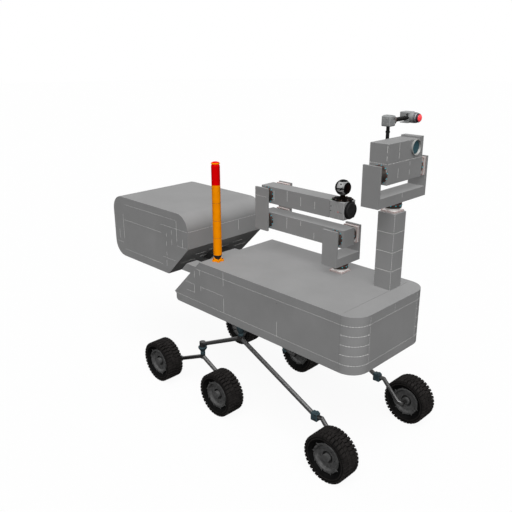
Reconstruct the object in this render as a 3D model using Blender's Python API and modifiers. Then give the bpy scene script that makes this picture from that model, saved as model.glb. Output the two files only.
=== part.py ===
"""Planetary rover with six lugged wheels, a folded arm and a pan and tilt sensor head.

Metres, +X forward, +Y to the left, +Z up. The origin is on the ground under the middle
of the vehicle. Names that end in _X, _Y or _Z are places, the others are sizes.
"""
from math import cos, pi, radians, sin

import bmesh
import bpy
from mathutils import Matrix, Vector

for old in list(bpy.data.objects):
    bpy.data.objects.remove(old, do_unlink=True)

# Clearances
SEAT_GAP = 0.0003
PIVOT_GAP = 0.0005

# Hull
HULL_FRONT_X = 0.930
HULL_DECK_LENGTH = 1.073
HULL_WIDTH = 0.580
HULL_HEIGHT = 0.290
HULL_CORNER_RADIUS = 0.095
DECK_Z = 0.830
SLANT_FOOT_HEIGHT = 0.052
REAR_LIP_DEPTH = 0.015
REAR_LIP_DROP = 0.009
REAR_SILL = 0.012
TAB_THICKNESS = 0.050
TAB_DROP = 0.035
TAB_REACH = 0.079
TAB_ROOT = 0.030
SIDE_TAB_WIDTH = 0.0755
MIDDLE_TAB_WIDTH = 0.166

# Rear pod
POD_LENGTH = 0.740
POD_RISE = 0.244
POD_HEIGHT = 0.388
POD_CHAMFER = 0.193
POD_CORNER_RADIUS = 0.090
NECK_WIDTH = 0.150
NECK_LENGTH = 0.064
NECK_MARGIN = 0.004

# Beacon column
BEACON_INSET = 0.053
BEACON_SIDE_INSET = 0.090
BEACON_FOOT_RADIUS = 0.024
BEACON_EAR_RADIUS = 0.009
BEACON_EAR_REACH = 0.025
BEACON_EARS = 5
BEACON_FOOT_HEIGHT = 0.012
BEACON_NECK_RADIUS = 0.014
BEACON_NECK_HEIGHT = 0.024
BEACON_RADIUS = 0.0235
BEACON_STAGE = 0.098
BEACON_STAGES = 4
BEACON_GROOVE = 0.0015
BEACON_CAP_HEIGHT = 0.108
BEACON_CROWN = 0.006

# Square beam modules of mast, arm and head
BEAM = 0.095
ADAPTER_SIDE = 0.080
ADAPTER_THICKNESS = 0.0075
COLLAR_RADIUS = 0.034
COLLAR_HEIGHT = 0.0125
FLANGE_RADIUS = 0.042
YOKE_WALL = 0.012
YOKE_BASE = 0.047
YOKE_LIFT = 0.030
CHEEK_PLATE = 0.020
CHEEK_SIDE = 0.086

# Mast and sensor head
MAST_SETBACK = 0.148
MAST_Y = 0.150
MAST_HEIGHT = 0.383
HEAD_YOKE_REACHES = (0.192, 0.207)
HEAD_YOKE_HEIGHT = 0.194
HEAD_AXIS_LIFT = 0.146
HOUSING_WIDTH = 0.250
HEAD_DEPTH = 0.101
HEAD_SETBACK = 0.010
HOUSING_HEIGHT = 0.091
SIDE_HOUSING_WIDTH = 0.038
SIDE_HOUSING_RISE = 0.008
LENS_RADIUS = 0.038
LENS_LENGTH = 0.010
LENS_WALL = 0.004
LENS_DEPTH = 0.006
LENS_INSET = 0.070
LENS_LIFT = 0.053

# Lamp boom on the head
BOOM_RADIUS = 0.0085
BOOM_SIDE = 0.028
BOOM_OFFSET = 0.0035
BOOM_FOOT_DROP = 0.023
BOOM_HEIGHT = 0.055
BOOM_FOOT = (0.012, 0.034, 0.050)
CLAMP_SIDE = 0.049
CLAMP_CHAMFER = 0.004
COLLAR_STEPS = ((0.021, 0.012), (0.016, 0.010))
BOOM_ARM_RADIUS = 0.0085
LAMP_REACH = 0.187
LAMP_RADIUS = 0.0265
LAMP_BOX_LENGTH = 0.053
LAMP_CAN_LENGTH = 0.042
LAMP_LENS_RADIUS = 0.017
LAMP_LENS_LENGTH = 0.006

# Arm
ARM_SPACING = 0.294
ARM_YOKE_REACHES = (0.0985, 0.105)
ARM_YOKE_HEIGHT = 0.192
ARM_AXIS_LIFT = 0.1415
ARM_REACH = 0.488
ELBOW_RISE = 0.1475
UPPER_LINK_REACH = 0.438
WRIST_LENGTH = 0.094
WRIST_CHAMFER = 0.003
FLANGE_DISC_RADIUS = 0.0465
FLANGE_DISC_LENGTH = 0.016
EYE_FOOT_RADIUS = 0.056
EYE_FOOT_THICKNESS = 0.007
EYE_NECK_RADIUS = 0.013
EYE_NECK_HEIGHT = 0.016
EYE_RADIUS = 0.041
EYE_WINDOW = 0.0115

# Wheels
WHEEL_X = (("front", 0.852), ("middle", 0.073), ("rear", -0.464))
WHEEL_RADIUS = 0.125
WHEEL_WIDTH = 0.108
WHEEL_TRACK = 0.680
LUG_HEIGHT = 0.012
LUG_STEPS = 36
LUG_TAPER = 0.86
TYRE_SHOULDER = 0.009
RIM_RADIUS = 0.0825
RIM_SEAT = 0.0035
RIM_INSET = 0.0125
RIM_FLANGE = 0.0125
RIM_WALL_TAPER = 0.005
DISH_DEPTH = 0.009
DISH_WEB = 0.033
HUB_CAP_RADIUS = 0.0205
HUB_CAP_HEIGHT = 0.011
HUB_RECESS_RADIUS = 0.031
HUB_RECESS_DEPTH = 0.014
HUB_BOSS_RADIUS = 0.024
HUB_BOSS_LENGTH = 0.024
AXLE_RADIUS = 0.010
AXLE_CLEARANCE = 0.0008
AXLE_DEPTH = 0.033

# Rocker and bogie frames
FRAME_TUBE = 0.012
FRAME_TYRE_GAP = 0.009
ROCKER_X = 0.157
ROCKER_DROP = 0.075
ROCKER_NODE = (0.015, 0.026)
ROCKER_BALL = (0.018, 0.031)
BOGIE_AHEAD = 0.292
BOGIE_RISE = 0.105
BOGIE_NODE = (0.0138, 0.026)
BOGIE_BENDS = (0.030, 0.075)
TAIL_RISE = 0.078
KNEE_BACK = 0.163
KNEE_RISE = 0.101
KNEE_FITTING = (0.040, 0.030, 0.044)
KNEE_CHAMFER = 0.006
LEG_BACK = 0.121
LEG_RISE = 0.106
LEG_BEND = 0.022
BEND_RISE = 0.004
HULL_PIVOT_RADII = (0.024, 0.018, 0.011)
BOGIE_PIVOT_RADII = (0.026, 0.013, 0.011)
PIVOT_COLLAR_RADIUS = 0.014

SIDES = (("right", -1), ("left", 1))

PARTS = bpy.data.collections.new("planetary_rover")
CUTTERS = bpy.data.collections.new("cutters")
for group in (PARTS, CUTTERS):
    bpy.context.scene.collection.children.link(group)


def material(name, colour, roughness, metallic=0.0):
    """Principled material with one colour, roughness and metallic value."""
    made = bpy.data.materials.new(name)
    made.use_nodes = True
    shader = made.node_tree.nodes["Principled BSDF"]
    shader.inputs["Base Color"].default_value = (*colour, 1.0)
    shader.inputs["Roughness"].default_value = roughness
    shader.inputs["Metallic"].default_value = metallic
    return made


HULL_GREY = material("hull_grey", (0.20, 0.20, 0.20), 0.55)
NECK_BLACK = material("neck_black", (0.02, 0.02, 0.02), 0.6)
TUBE_GREY = material("tube_grey", (0.05, 0.05, 0.05), 0.3, 0.6)
FITTING_TEAL = material("fitting_teal", (0.055, 0.09, 0.105), 0.45)
TYRE_BLACK = material("tyre_black", (0.012, 0.012, 0.012), 0.85)
RIM_GREY = material("rim_grey", (0.045, 0.045, 0.045), 0.4, 0.4)
PLATE_LIGHT = material("plate_light", (0.58, 0.56, 0.55), 0.4, 0.5)
BEACON_ORANGE = material("beacon_orange", (0.73, 0.22, 0.0), 0.35)
BEACON_RED = material("beacon_red", (0.56, 0.0, 0.003), 0.3)
LENS_TEAL = material("lens_teal", (0.02, 0.06, 0.07), 0.1)
GLOSS_BLACK = material("gloss_black", (0.01, 0.01, 0.01), 0.15)
SILVER = material("silver", (0.5, 0.5, 0.5), 0.3, 0.7)
CLAMP_GREY = material("clamp_grey", (0.22, 0.23, 0.23), 0.4, 0.6)
LAMP_RED = material("lamp_red", (0.9, 0.05, 0.06), 0.3)


def axis_empty(name, place, parent=None):
    """Empty on a joint's axis; the pieces that turn about it are its children."""
    marker = bpy.data.objects.new("axis_" + name, None)
    marker.empty_display_size = 0.05
    PARTS.objects.link(marker)
    marker["place"] = place
    origin = Vector(parent["place"]) if parent else Vector((0, 0, 0))
    marker.parent = parent
    marker.location = Vector(place) - origin
    return marker


def finish_mesh(name, mesh, paint, place, carrier=None):
    """Link a mesh as a named part at a world place, under its joint's empty."""
    part = bpy.data.objects.new(name, mesh)
    PARTS.objects.link(part)
    mesh.materials.clear()
    mesh.materials.append(paint)
    mesh.shade_smooth()
    mesh.set_sharp_from_angle(angle=radians(32))
    origin = Vector(carrier["place"]) if carrier else Vector((0, 0, 0))
    part.parent = carrier
    part.location = Vector(place) - origin
    return part


def mesh_of(bm, name):
    """Mesh made from a bmesh, with its faces pointing out."""
    bmesh.ops.recalc_face_normals(bm, faces=bm.faces)
    mesh = bpy.data.meshes.new(name)
    bm.to_mesh(mesh)
    bm.free()
    return mesh


def evaluated_mesh(obj):
    """Evaluated, welded mesh of an object, with the object's own transform applied."""
    graph = bpy.context.evaluated_depsgraph_get()
    mesh = bpy.data.meshes.new_from_object(obj.evaluated_get(graph))
    bm = bmesh.new()
    bm.from_mesh(mesh)
    bm.transform(obj.matrix_world)
    bmesh.ops.remove_doubles(bm, verts=bm.verts, dist=0.00001)
    bmesh.ops.dissolve_degenerate(bm, edges=bm.edges, dist=0.00001)
    return mesh_of(bm, obj.name)


def block(size, centre=(0, 0, 0), chamfer=0.0):
    """Box mesh of the given size about a centre, with chamfered edges if asked."""
    bm = bmesh.new()
    bmesh.ops.create_cube(bm, size=1.0)
    bmesh.ops.scale(bm, vec=size, verts=bm.verts)
    if chamfer:
        bmesh.ops.bevel(bm, geom=bm.edges, offset=chamfer, segments=1, affect="EDGES")
    bmesh.ops.translate(bm, vec=centre, verts=bm.verts)
    return mesh_of(bm, "block")


def disc(radius, length, centre=(0, 0, 0), axis="Z", sides=24, end_radius=None):
    """Cylinder or cone mesh about a centre; end_radius is the radius at the far end."""
    bm = bmesh.new()
    far = radius if end_radius is None else end_radius
    bmesh.ops.create_cone(
        bm, cap_ends=True, segments=sides, radius1=radius, radius2=far, depth=length)
    turn = {"X": Matrix.Rotation(pi / 2, 4, "Y"), "Y": Matrix.Rotation(-pi / 2, 4, "X"),
            "Z": Matrix.Identity(4)}[axis]
    bmesh.ops.transform(bm, matrix=turn, verts=bm.verts)
    bmesh.ops.translate(bm, vec=centre, verts=bm.verts)
    return mesh_of(bm, "disc")


def arc(x, y, radius, start, stop, steps):
    """Points of a circle's arc in degrees, both ends included."""
    angles = [radians(start + (stop - start) * i / steps) for i in range(steps + 1)]
    return [(x + radius * cos(a), y + radius * sin(a)) for a in angles]


def outline(points, thickness, plane="XZ"):
    """Flat outline filled and extruded; plane XZ stands it up across Y, XY lays it flat."""
    curve = bpy.data.curves.new("outline", "CURVE")
    curve.dimensions = "2D"
    curve.fill_mode = "BOTH"
    curve.extrude = thickness / 2
    spline = curve.splines.new("POLY")
    spline.points.add(len(points) - 1)
    for point, (x, y) in zip(spline.points, points):
        point.co = (x, y, 0, 1)
    spline.use_cyclic_u = True
    guide = bpy.data.objects.new("outline", curve)
    CUTTERS.objects.link(guide)
    if plane == "XZ":
        guide.rotation_euler = (pi / 2, 0, 0)
    if plane == "YZ":
        guide.rotation_euler = (pi / 2, 0, pi / 2)
    bpy.context.view_layer.update()
    mesh = evaluated_mesh(guide)
    bpy.data.objects.remove(guide, do_unlink=True)
    return mesh


def tube(points, radius, detail=2):
    """Round tube along straight runs with filled ends."""
    curve = bpy.data.curves.new("tube", "CURVE")
    curve.dimensions = "3D"
    curve.bevel_depth = radius
    curve.bevel_resolution = detail
    curve.use_fill_caps = True
    spline = curve.splines.new("POLY")
    spline.points.add(len(points) - 1)
    for point, co in zip(spline.points, points):
        point.co = (*co, 1)
    guide = bpy.data.objects.new("tube", curve)
    CUTTERS.objects.link(guide)
    bpy.context.view_layer.update()
    mesh = evaluated_mesh(guide)
    bpy.data.objects.remove(guide, do_unlink=True)
    return mesh


def turned(profile, steps=24):
    """Solid of revolution about Z from a profile of (radius, height), top to bottom."""
    bm = bmesh.new()
    verts = [bm.verts.new((r, 0, z)) for r, z in profile]
    for a, b in zip(verts, verts[1:]):
        bm.edges.new((a, b))
    mesh = bpy.data.meshes.new("profile")
    bm.to_mesh(mesh)
    bm.free()
    guide = bpy.data.objects.new("profile", mesh)
    CUTTERS.objects.link(guide)
    screw = guide.modifiers.new("turn", "SCREW")
    screw.steps = steps
    screw.render_steps = steps
    screw.use_merge_vertices = True
    screw.merge_threshold = 0.00005
    bpy.context.view_layer.update()
    made = evaluated_mesh(guide)
    bpy.data.objects.remove(guide, do_unlink=True)
    return made


def moved(mesh, matrix):
    """The same mesh after a transform."""
    mesh.transform(matrix)
    return mesh


def combine(base, others, operation="UNION"):
    """Boolean of one mesh with others, as one mesh."""
    body = bpy.data.objects.new("base", base)
    CUTTERS.objects.link(body)
    tools = []
    for mesh in others:
        tool = bpy.data.objects.new("tool", mesh)
        tool.hide_render = True
        tool.display_type = "WIRE"
        CUTTERS.objects.link(tool)
        cut = body.modifiers.new("join", "BOOLEAN")
        cut.operation = operation
        cut.solver = "EXACT"
        cut.object = tool
        tools.append(tool)
    bpy.context.view_layer.update()
    made = evaluated_mesh(body)
    for spare in (body, *tools):
        bpy.data.objects.remove(spare, do_unlink=True)
    return made


# Hull: flat deck, rounded front corners, rear face slanted at 45 degrees with two tabs.
# A face at 45 degrees is named by its x - z.
floor_z = DECK_Z - HULL_HEIGHT
deck_rear_x = HULL_FRONT_X - HULL_DECK_LENGTH
slant_foot_z = floor_z + SLANT_FOOT_HEIGHT
slant_foot_x = deck_rear_x - (DECK_Z - slant_foot_z)
tab_top_z = DECK_Z - TAB_DROP
tab_low_z = tab_top_z - TAB_THICKNESS
tab_root_x = deck_rear_x - TAB_DROP
tab_end_x = tab_root_x - TAB_REACH
pod_top_z = DECK_Z + POD_RISE
pod_low_z = pod_top_z - POD_HEIGHT
tab_face = tab_end_x - tab_top_z
pod_face = tab_face - NECK_LENGTH
pod_front_x = pod_face + POD_CHAMFER + pod_low_z


def hull():
    """Side outline with slant and rear lip, trimmed to the rounded plan, plus two tabs."""
    lip_x = slant_foot_x + REAR_LIP_DEPTH
    side = [
        (HULL_FRONT_X, DECK_Z), (deck_rear_x, DECK_Z),
        (slant_foot_x, slant_foot_z), (lip_x, slant_foot_z - REAR_LIP_DROP),
        (lip_x, floor_z + REAR_SILL), (lip_x + REAR_SILL, floor_z), (HULL_FRONT_X, floor_z)]
    half = HULL_WIDTH / 2
    corner_x = HULL_FRONT_X - HULL_CORNER_RADIUS
    corner_y = half - HULL_CORNER_RADIUS
    rear_x = slant_foot_x - HULL_CORNER_RADIUS
    plan = [(rear_x, -half)]
    plan += arc(corner_x, -corner_y, HULL_CORNER_RADIUS, -90, 0, 8)
    plan += arc(corner_x, corner_y, HULL_CORNER_RADIUS, 0, 90, 8)
    plan += [(rear_x, half)]
    tall = moved(outline(plan, 4 * HULL_HEIGHT, "XY"), Matrix.Translation((0, 0, DECK_Z)))
    solid = combine(outline(side, 2 * HULL_WIDTH), [tall], "INTERSECT")
    tab = [(tab_root_x + TAB_ROOT, tab_top_z), (tab_end_x, tab_top_z),
           (tab_end_x - TAB_THICKNESS, tab_low_z),
           (tab_root_x - TAB_THICKNESS + TAB_ROOT, tab_low_z)]
    side_y = (SIDE_TAB_WIDTH - HULL_WIDTH) / 2
    side_tab = moved(outline(tab, SIDE_TAB_WIDTH), Matrix.Translation((0, side_y, 0)))
    solid = combine(solid, [side_tab, outline(tab, MIDDLE_TAB_WIDTH)])
    return finish_mesh("hull", solid, HULL_GREY, (0, 0, 0))


def pod():
    """Rear pod: rounded side outline with a 45 degree underside at its front."""
    rear_x = pod_front_x - POD_LENGTH
    r = POD_CORNER_RADIUS
    side = [(pod_front_x - POD_CHAMFER, pod_low_z), (pod_front_x, pod_low_z + POD_CHAMFER)]
    side += arc(pod_front_x - r, pod_top_z - r, r, 0, 90, 6)
    side += arc(rear_x + r, pod_top_z - r, r, 90, 180, 6)
    side += arc(rear_x + r, pod_low_z + r, r, 180, 270, 6)
    return finish_mesh("rear_pod", outline(side, HULL_WIDTH), HULL_GREY, (0, 0, 0))


def pod_neck():
    """Black neck between the middle tab's slanted end and the pod's underside."""
    top_z = tab_top_z - NECK_MARGIN
    low_z = tab_low_z + NECK_MARGIN
    slack = SEAT_GAP * 2 ** 0.5
    front = tab_face - slack
    rear = pod_face + slack
    side = [(front + top_z, top_z), (rear + top_z, top_z), (rear + low_z, low_z),
            (front + low_z, low_z)]
    return finish_mesh("pod_neck", outline(side, NECK_WIDTH), NECK_BLACK, (0, 0, 0))


def beacon():
    """Signal column on the rear of the deck: lobed foot, neck, orange stages, red top."""
    foot_z = DECK_Z + SEAT_GAP
    x = deck_rear_x + BEACON_INSET
    y = BEACON_SIDE_INSET - HULL_WIDTH / 2
    ears = []
    for i in range(BEACON_EARS):
        a = 2 * pi * (i + 0.5) / BEACON_EARS
        ears.append(disc(
            BEACON_EAR_RADIUS, BEACON_FOOT_HEIGHT,
            (BEACON_EAR_REACH * cos(a), BEACON_EAR_REACH * sin(a), BEACON_FOOT_HEIGHT / 2),
            sides=12))
    plate = disc(BEACON_FOOT_RADIUS, BEACON_FOOT_HEIGHT, (0, 0, BEACON_FOOT_HEIGHT / 2))
    finish_mesh("beacon_foot", combine(plate, ears), BEACON_ORANGE, (x, y, foot_z))
    neck_z = foot_z + BEACON_FOOT_HEIGHT + SEAT_GAP
    neck = turned([(0, BEACON_NECK_HEIGHT), (BEACON_RADIUS, BEACON_NECK_HEIGHT),
                   (BEACON_NECK_RADIUS, 0), (0, 0)], 20)
    finish_mesh("beacon_neck", neck, NECK_BLACK, (x, y, neck_z))
    tube_z = neck_z + BEACON_NECK_HEIGHT + SEAT_GAP
    height = BEACON_STAGE * BEACON_STAGES
    profile = [(0, height), (BEACON_RADIUS, height)]
    for i in range(BEACON_STAGES - 1, 0, -1):
        seam = i * BEACON_STAGE
        profile += [(BEACON_RADIUS, seam + BEACON_GROOVE), (BEACON_RADIUS - BEACON_GROOVE, seam),
                    (BEACON_RADIUS, seam - BEACON_GROOVE)]
    profile += [(BEACON_RADIUS, 0), (0, 0)]
    finish_mesh("beacon_tube", turned(profile, 20), BEACON_ORANGE, (x, y, tube_z))
    cap_z = tube_z + height + SEAT_GAP
    cap = turned([
        (0, BEACON_CAP_HEIGHT + BEACON_CROWN), (0.5 * BEACON_RADIUS, BEACON_CAP_HEIGHT + BEACON_CROWN),
        (0.9 * BEACON_RADIUS, BEACON_CAP_HEIGHT), (BEACON_RADIUS, BEACON_CAP_HEIGHT - BEACON_CROWN),
        (BEACON_RADIUS, 0), (0, 0)], 20)
    finish_mesh("beacon_cap", cap, BEACON_RED, (x, y, cap_z))


def cheek(z, wall_y, face_y):
    """Round flange that a beam turns on; a wall on the left has a square plate under it."""
    out = 1 if face_y > wall_y else -1
    root_y = wall_y - out * YOKE_WALL / 2
    flange_to = face_y - out * PIVOT_GAP
    parts = [disc(FLANGE_RADIUS, abs(flange_to - root_y), (0, (root_y + flange_to) / 2, z),
                  axis="Y")]
    if out < 0:
        plate_to = wall_y - CHEEK_PLATE
        parts.append(block((CHEEK_SIDE, root_y - plate_to, CHEEK_SIDE),
                           (0, (root_y + plate_to) / 2, z)))
    return parts


def yoke(name, reaches, height, axis_lift, beam_reaches, place, carrier):
    """U-shaped yoke on a round flange; reaches are those to the right and to the left."""
    right, left = reaches
    section = [(-right, 0), (left, 0), (left, height), (left - YOKE_WALL, height),
               (left - YOKE_WALL, YOKE_BASE), (YOKE_WALL - right, YOKE_BASE),
               (YOKE_WALL - right, height), (-right, height)]
    shell = outline(section, BEAM, "YZ")
    stem = YOKE_LIFT - PIVOT_GAP
    parts = [disc(FLANGE_RADIUS, stem + YOKE_BASE / 2, (0, 0, (YOKE_BASE / 2 - stem) / 2))]
    parts += cheek(axis_lift, YOKE_WALL - right, -beam_reaches[0])
    parts += cheek(axis_lift, left - YOKE_WALL, beam_reaches[1])
    return finish_mesh(name, combine(shell, parts), HULL_GREY, place, carrier)


def adapter(name, x, y, base_z):
    """Light square adapter plate with a round collar under a turning flange."""
    height = ADAPTER_THICKNESS + COLLAR_HEIGHT
    middle = ADAPTER_THICKNESS / 2
    plate = block((ADAPTER_SIDE, ADAPTER_SIDE, ADAPTER_THICKNESS), (0, 0, middle))
    collar = disc(COLLAR_RADIUS, height - middle, (0, 0, (height + middle) / 2))
    finish_mesh(name, combine(plate, [collar]), PLATE_LIGHT, (x, y, base_z + SEAT_GAP))
    return base_z + SEAT_GAP + height


def link(name, reach, nose, place, carrier):
    """Square beam along X with a square tail about its elbow axis, placed by that axis."""
    beam = block((reach + nose + BEAM / 2, BEAM, BEAM), ((reach + nose - BEAM / 2) / 2, 0, 0))
    return finish_mesh(name, beam, HULL_GREY, place, carrier)


# Mast with its pan and tilt sensor head
mast_x = HULL_FRONT_X - MAST_SETBACK
mast_top_z = DECK_Z + MAST_HEIGHT


def mast_and_head():
    """Square mast, pan yoke, tilt beam, sensor housing and lens."""
    mast = block((BEAM, BEAM, MAST_HEIGHT - SEAT_GAP))
    finish_mesh("mast", mast, HULL_GREY, (mast_x, MAST_Y, DECK_Z + (MAST_HEIGHT + SEAT_GAP) / 2))
    seat_z = adapter("mast_adapter", mast_x, MAST_Y, mast_top_z)
    pan = axis_empty("head_pan", (mast_x, MAST_Y, seat_z))
    yoke_z = seat_z + YOKE_LIFT
    beam_reaches = (HOUSING_WIDTH / 2, HOUSING_WIDTH / 2 + SIDE_HOUSING_WIDTH)
    yoke("head_yoke", HEAD_YOKE_REACHES, HEAD_YOKE_HEIGHT, HEAD_AXIS_LIFT,
         beam_reaches, (mast_x, MAST_Y, yoke_z), pan)
    axis_z = yoke_z + HEAD_AXIS_LIFT
    tilt = axis_empty("head_tilt", (mast_x, MAST_Y, axis_z), pan)
    beam_x = mast_x - HEAD_SETBACK
    beam = block((HEAD_DEPTH, sum(beam_reaches), BEAM), (0, SIDE_HOUSING_WIDTH / 2, 0))
    finish_mesh("head_beam", beam, HULL_GREY, (beam_x, MAST_Y, axis_z), tilt)
    housing_z = axis_z + BEAM / 2 + SEAT_GAP
    side_height = HOUSING_HEIGHT + SIDE_HOUSING_RISE
    main = block((HEAD_DEPTH, HOUSING_WIDTH, HOUSING_HEIGHT), (0, 0, HOUSING_HEIGHT / 2))
    side_y = (HOUSING_WIDTH + SIDE_HOUSING_WIDTH) / 2
    side = block((HEAD_DEPTH, SIDE_HOUSING_WIDTH + SEAT_GAP, side_height),
                 (0, side_y - SEAT_GAP, side_height / 2))
    housing = combine(main, [side])
    finish_mesh("sensor_housing", housing, HULL_GREY, (beam_x, MAST_Y, housing_z), tilt)
    lens_y = MAST_Y + HOUSING_WIDTH / 2 + SIDE_HOUSING_WIDTH - LENS_INSET
    lens = turned([
        (0, LENS_LENGTH - LENS_DEPTH), (LENS_RADIUS - LENS_WALL, LENS_LENGTH - LENS_DEPTH),
        (LENS_RADIUS - LENS_WALL, LENS_LENGTH), (LENS_RADIUS, LENS_LENGTH),
        (LENS_RADIUS, 0), (0, 0)], 24)
    finish_mesh("lens", moved(lens, Matrix.Rotation(pi / 2, 4, "Y")), LENS_TEAL,
                (beam_x + HEAD_DEPTH / 2 + SEAT_GAP, lens_y, housing_z + LENS_LIFT), tilt)
    return tilt, beam_x - HEAD_DEPTH / 2, housing_z + HOUSING_HEIGHT


def lamp_boom(tilt, rear_x, top_z):
    """Rod up the housing's rear face, cross clamp, arm to the left and a lamp."""
    rod_x = rear_x - BOOM_OFFSET - BOOM_RADIUS
    rod_y = MAST_Y + BOOM_SIDE
    depth, width, height = BOOM_FOOT
    foot_low_z = top_z - BOOM_FOOT_DROP - height
    clamp_low_z = top_z + BOOM_HEIGHT
    foot = block((rear_x - SEAT_GAP - rod_x + depth / 2, width, height),
                 ((rear_x - SEAT_GAP - rod_x - depth / 2) / 2, 0, height / 2))
    rod_length = clamp_low_z - SEAT_GAP - foot_low_z
    rod = disc(BOOM_RADIUS, rod_length, (0, 0, rod_length / 2), sides=16)
    finish_mesh("boom_rod", combine(rod, [foot]), GLOSS_BLACK, (rod_x, rod_y, foot_low_z), tilt)
    clamp_z = clamp_low_z + CLAMP_SIDE / 2
    clamp = block((CLAMP_SIDE, CLAMP_SIDE, CLAMP_SIDE), chamfer=CLAMP_CHAMFER)
    finish_mesh("boom_clamp", clamp, CLAMP_GREY, (rod_x, rod_y, clamp_z), tilt)
    start = CLAMP_SIDE / 2 + SEAT_GAP
    end = LAMP_REACH - LAMP_RADIUS - SEAT_GAP
    arm = disc(BOOM_ARM_RADIUS, end - start, (0, (start + end) / 2, 0), axis="Y", sides=16)
    collars = []
    at = start
    for radius, length in COLLAR_STEPS:
        collars.append(disc(radius, length, (0, at + length / 2, 0), axis="Y", sides=16))
        at += length
    finish_mesh("boom_arm", combine(arm, collars), GLOSS_BLACK, (rod_x, rod_y, clamp_z), tilt)
    box_front = rod_x + BOOM_ARM_RADIUS + SEAT_GAP
    lamp_y = rod_y + LAMP_REACH
    side = 2 * LAMP_RADIUS
    case = block((LAMP_BOX_LENGTH, side, side),
                 (-LAMP_BOX_LENGTH / 2, 0, 0), chamfer=CLAMP_CHAMFER)
    can = disc(LAMP_RADIUS, LAMP_CAN_LENGTH + CLAMP_CHAMFER,
               ((LAMP_CAN_LENGTH - CLAMP_CHAMFER) / 2, 0, 0), axis="X")
    finish_mesh("lamp", combine(case, [can]), CLAMP_GREY, (box_front, lamp_y, clamp_z), tilt)
    glass = turned([
        (0, LAMP_LENS_LENGTH), (0.7 * LAMP_LENS_RADIUS, LAMP_LENS_LENGTH),
        (LAMP_LENS_RADIUS, 0.4 * LAMP_LENS_LENGTH), (LAMP_LENS_RADIUS, 0), (0, 0)], 20)
    finish_mesh("lamp_lens", moved(glass, Matrix.Rotation(pi / 2, 4, "Y")), LAMP_RED,
                (box_front + LAMP_CAN_LENGTH + SEAT_GAP, lamp_y, clamp_z), tilt)


def arm():
    """Arm folded over the deck: yoke, lower link, double elbow, upper link and wrist."""
    arm_x = mast_x - ARM_SPACING
    seat_z = adapter("arm_adapter", arm_x, MAST_Y, DECK_Z)
    yaw = axis_empty("arm_yaw", (arm_x, MAST_Y, seat_z))
    yoke_z = seat_z + YOKE_LIFT
    yoke("arm_yoke", ARM_YOKE_REACHES, ARM_YOKE_HEIGHT, ARM_AXIS_LIFT, (BEAM / 2, BEAM / 2),
         (arm_x, MAST_Y, yoke_z), yaw)
    shoulder_z = yoke_z + ARM_AXIS_LIFT
    shoulder = axis_empty("shoulder", (arm_x, MAST_Y, shoulder_z), yaw)
    low_axis = (arm_x - ARM_REACH, MAST_Y, shoulder_z)
    link("lower_link", ARM_REACH, BEAM / 2, low_axis, shoulder)
    low = axis_empty("elbow_low", low_axis, shoulder)
    elbow_plates(low, low_axis)
    high_axis = (arm_x - ARM_REACH, MAST_Y, shoulder_z + ELBOW_RISE)
    high = axis_empty("elbow_high", high_axis, low)
    link("upper_link", UPPER_LINK_REACH, 0, high_axis, high)
    wrist_x = high_axis[0] + UPPER_LINK_REACH + SEAT_GAP + WRIST_LENGTH / 2
    wrist = block((WRIST_LENGTH, BEAM, BEAM), chamfer=WRIST_CHAMFER)
    finish_mesh("wrist_housing", wrist, CLAMP_GREY, (wrist_x, MAST_Y, high_axis[2]), high)
    face = (wrist_x + WRIST_LENGTH / 2 + PIVOT_GAP, MAST_Y, high_axis[2])
    roll = axis_empty("wrist_roll", face, high)
    rim = FLANGE_DISC_LENGTH / 3
    flange = turned([
        (0, FLANGE_DISC_LENGTH), (FLANGE_DISC_RADIUS - rim, FLANGE_DISC_LENGTH),
        (FLANGE_DISC_RADIUS, FLANGE_DISC_LENGTH - rim), (FLANGE_DISC_RADIUS, 0), (0, 0)])
    finish_mesh("wrist_flange", moved(flange, Matrix.Rotation(pi / 2, 4, "Y")), GLOSS_BLACK,
                face, roll)
    eye(high, wrist_x, high_axis[2] + BEAM / 2 + SEAT_GAP)


def elbow_plates(carrier, place):
    """A plate beside each end of the two links, with a flange at each of the two axes."""
    for (side_name, side), reach in zip(SIDES, ARM_YOKE_REACHES):
        size = (BEAM, YOKE_WALL, ELBOW_RISE + BEAM)
        plate = block(size, (0, side * (reach - YOKE_WALL / 2), ELBOW_RISE / 2))
        inner = side * (reach - YOKE_WALL)
        flanges = cheek(0, inner, side * BEAM / 2) + cheek(ELBOW_RISE, inner, side * BEAM / 2)
        finish_mesh("elbow_plate_" + side_name, combine(plate, flanges), HULL_GREY, place,
                    carrier)


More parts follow.
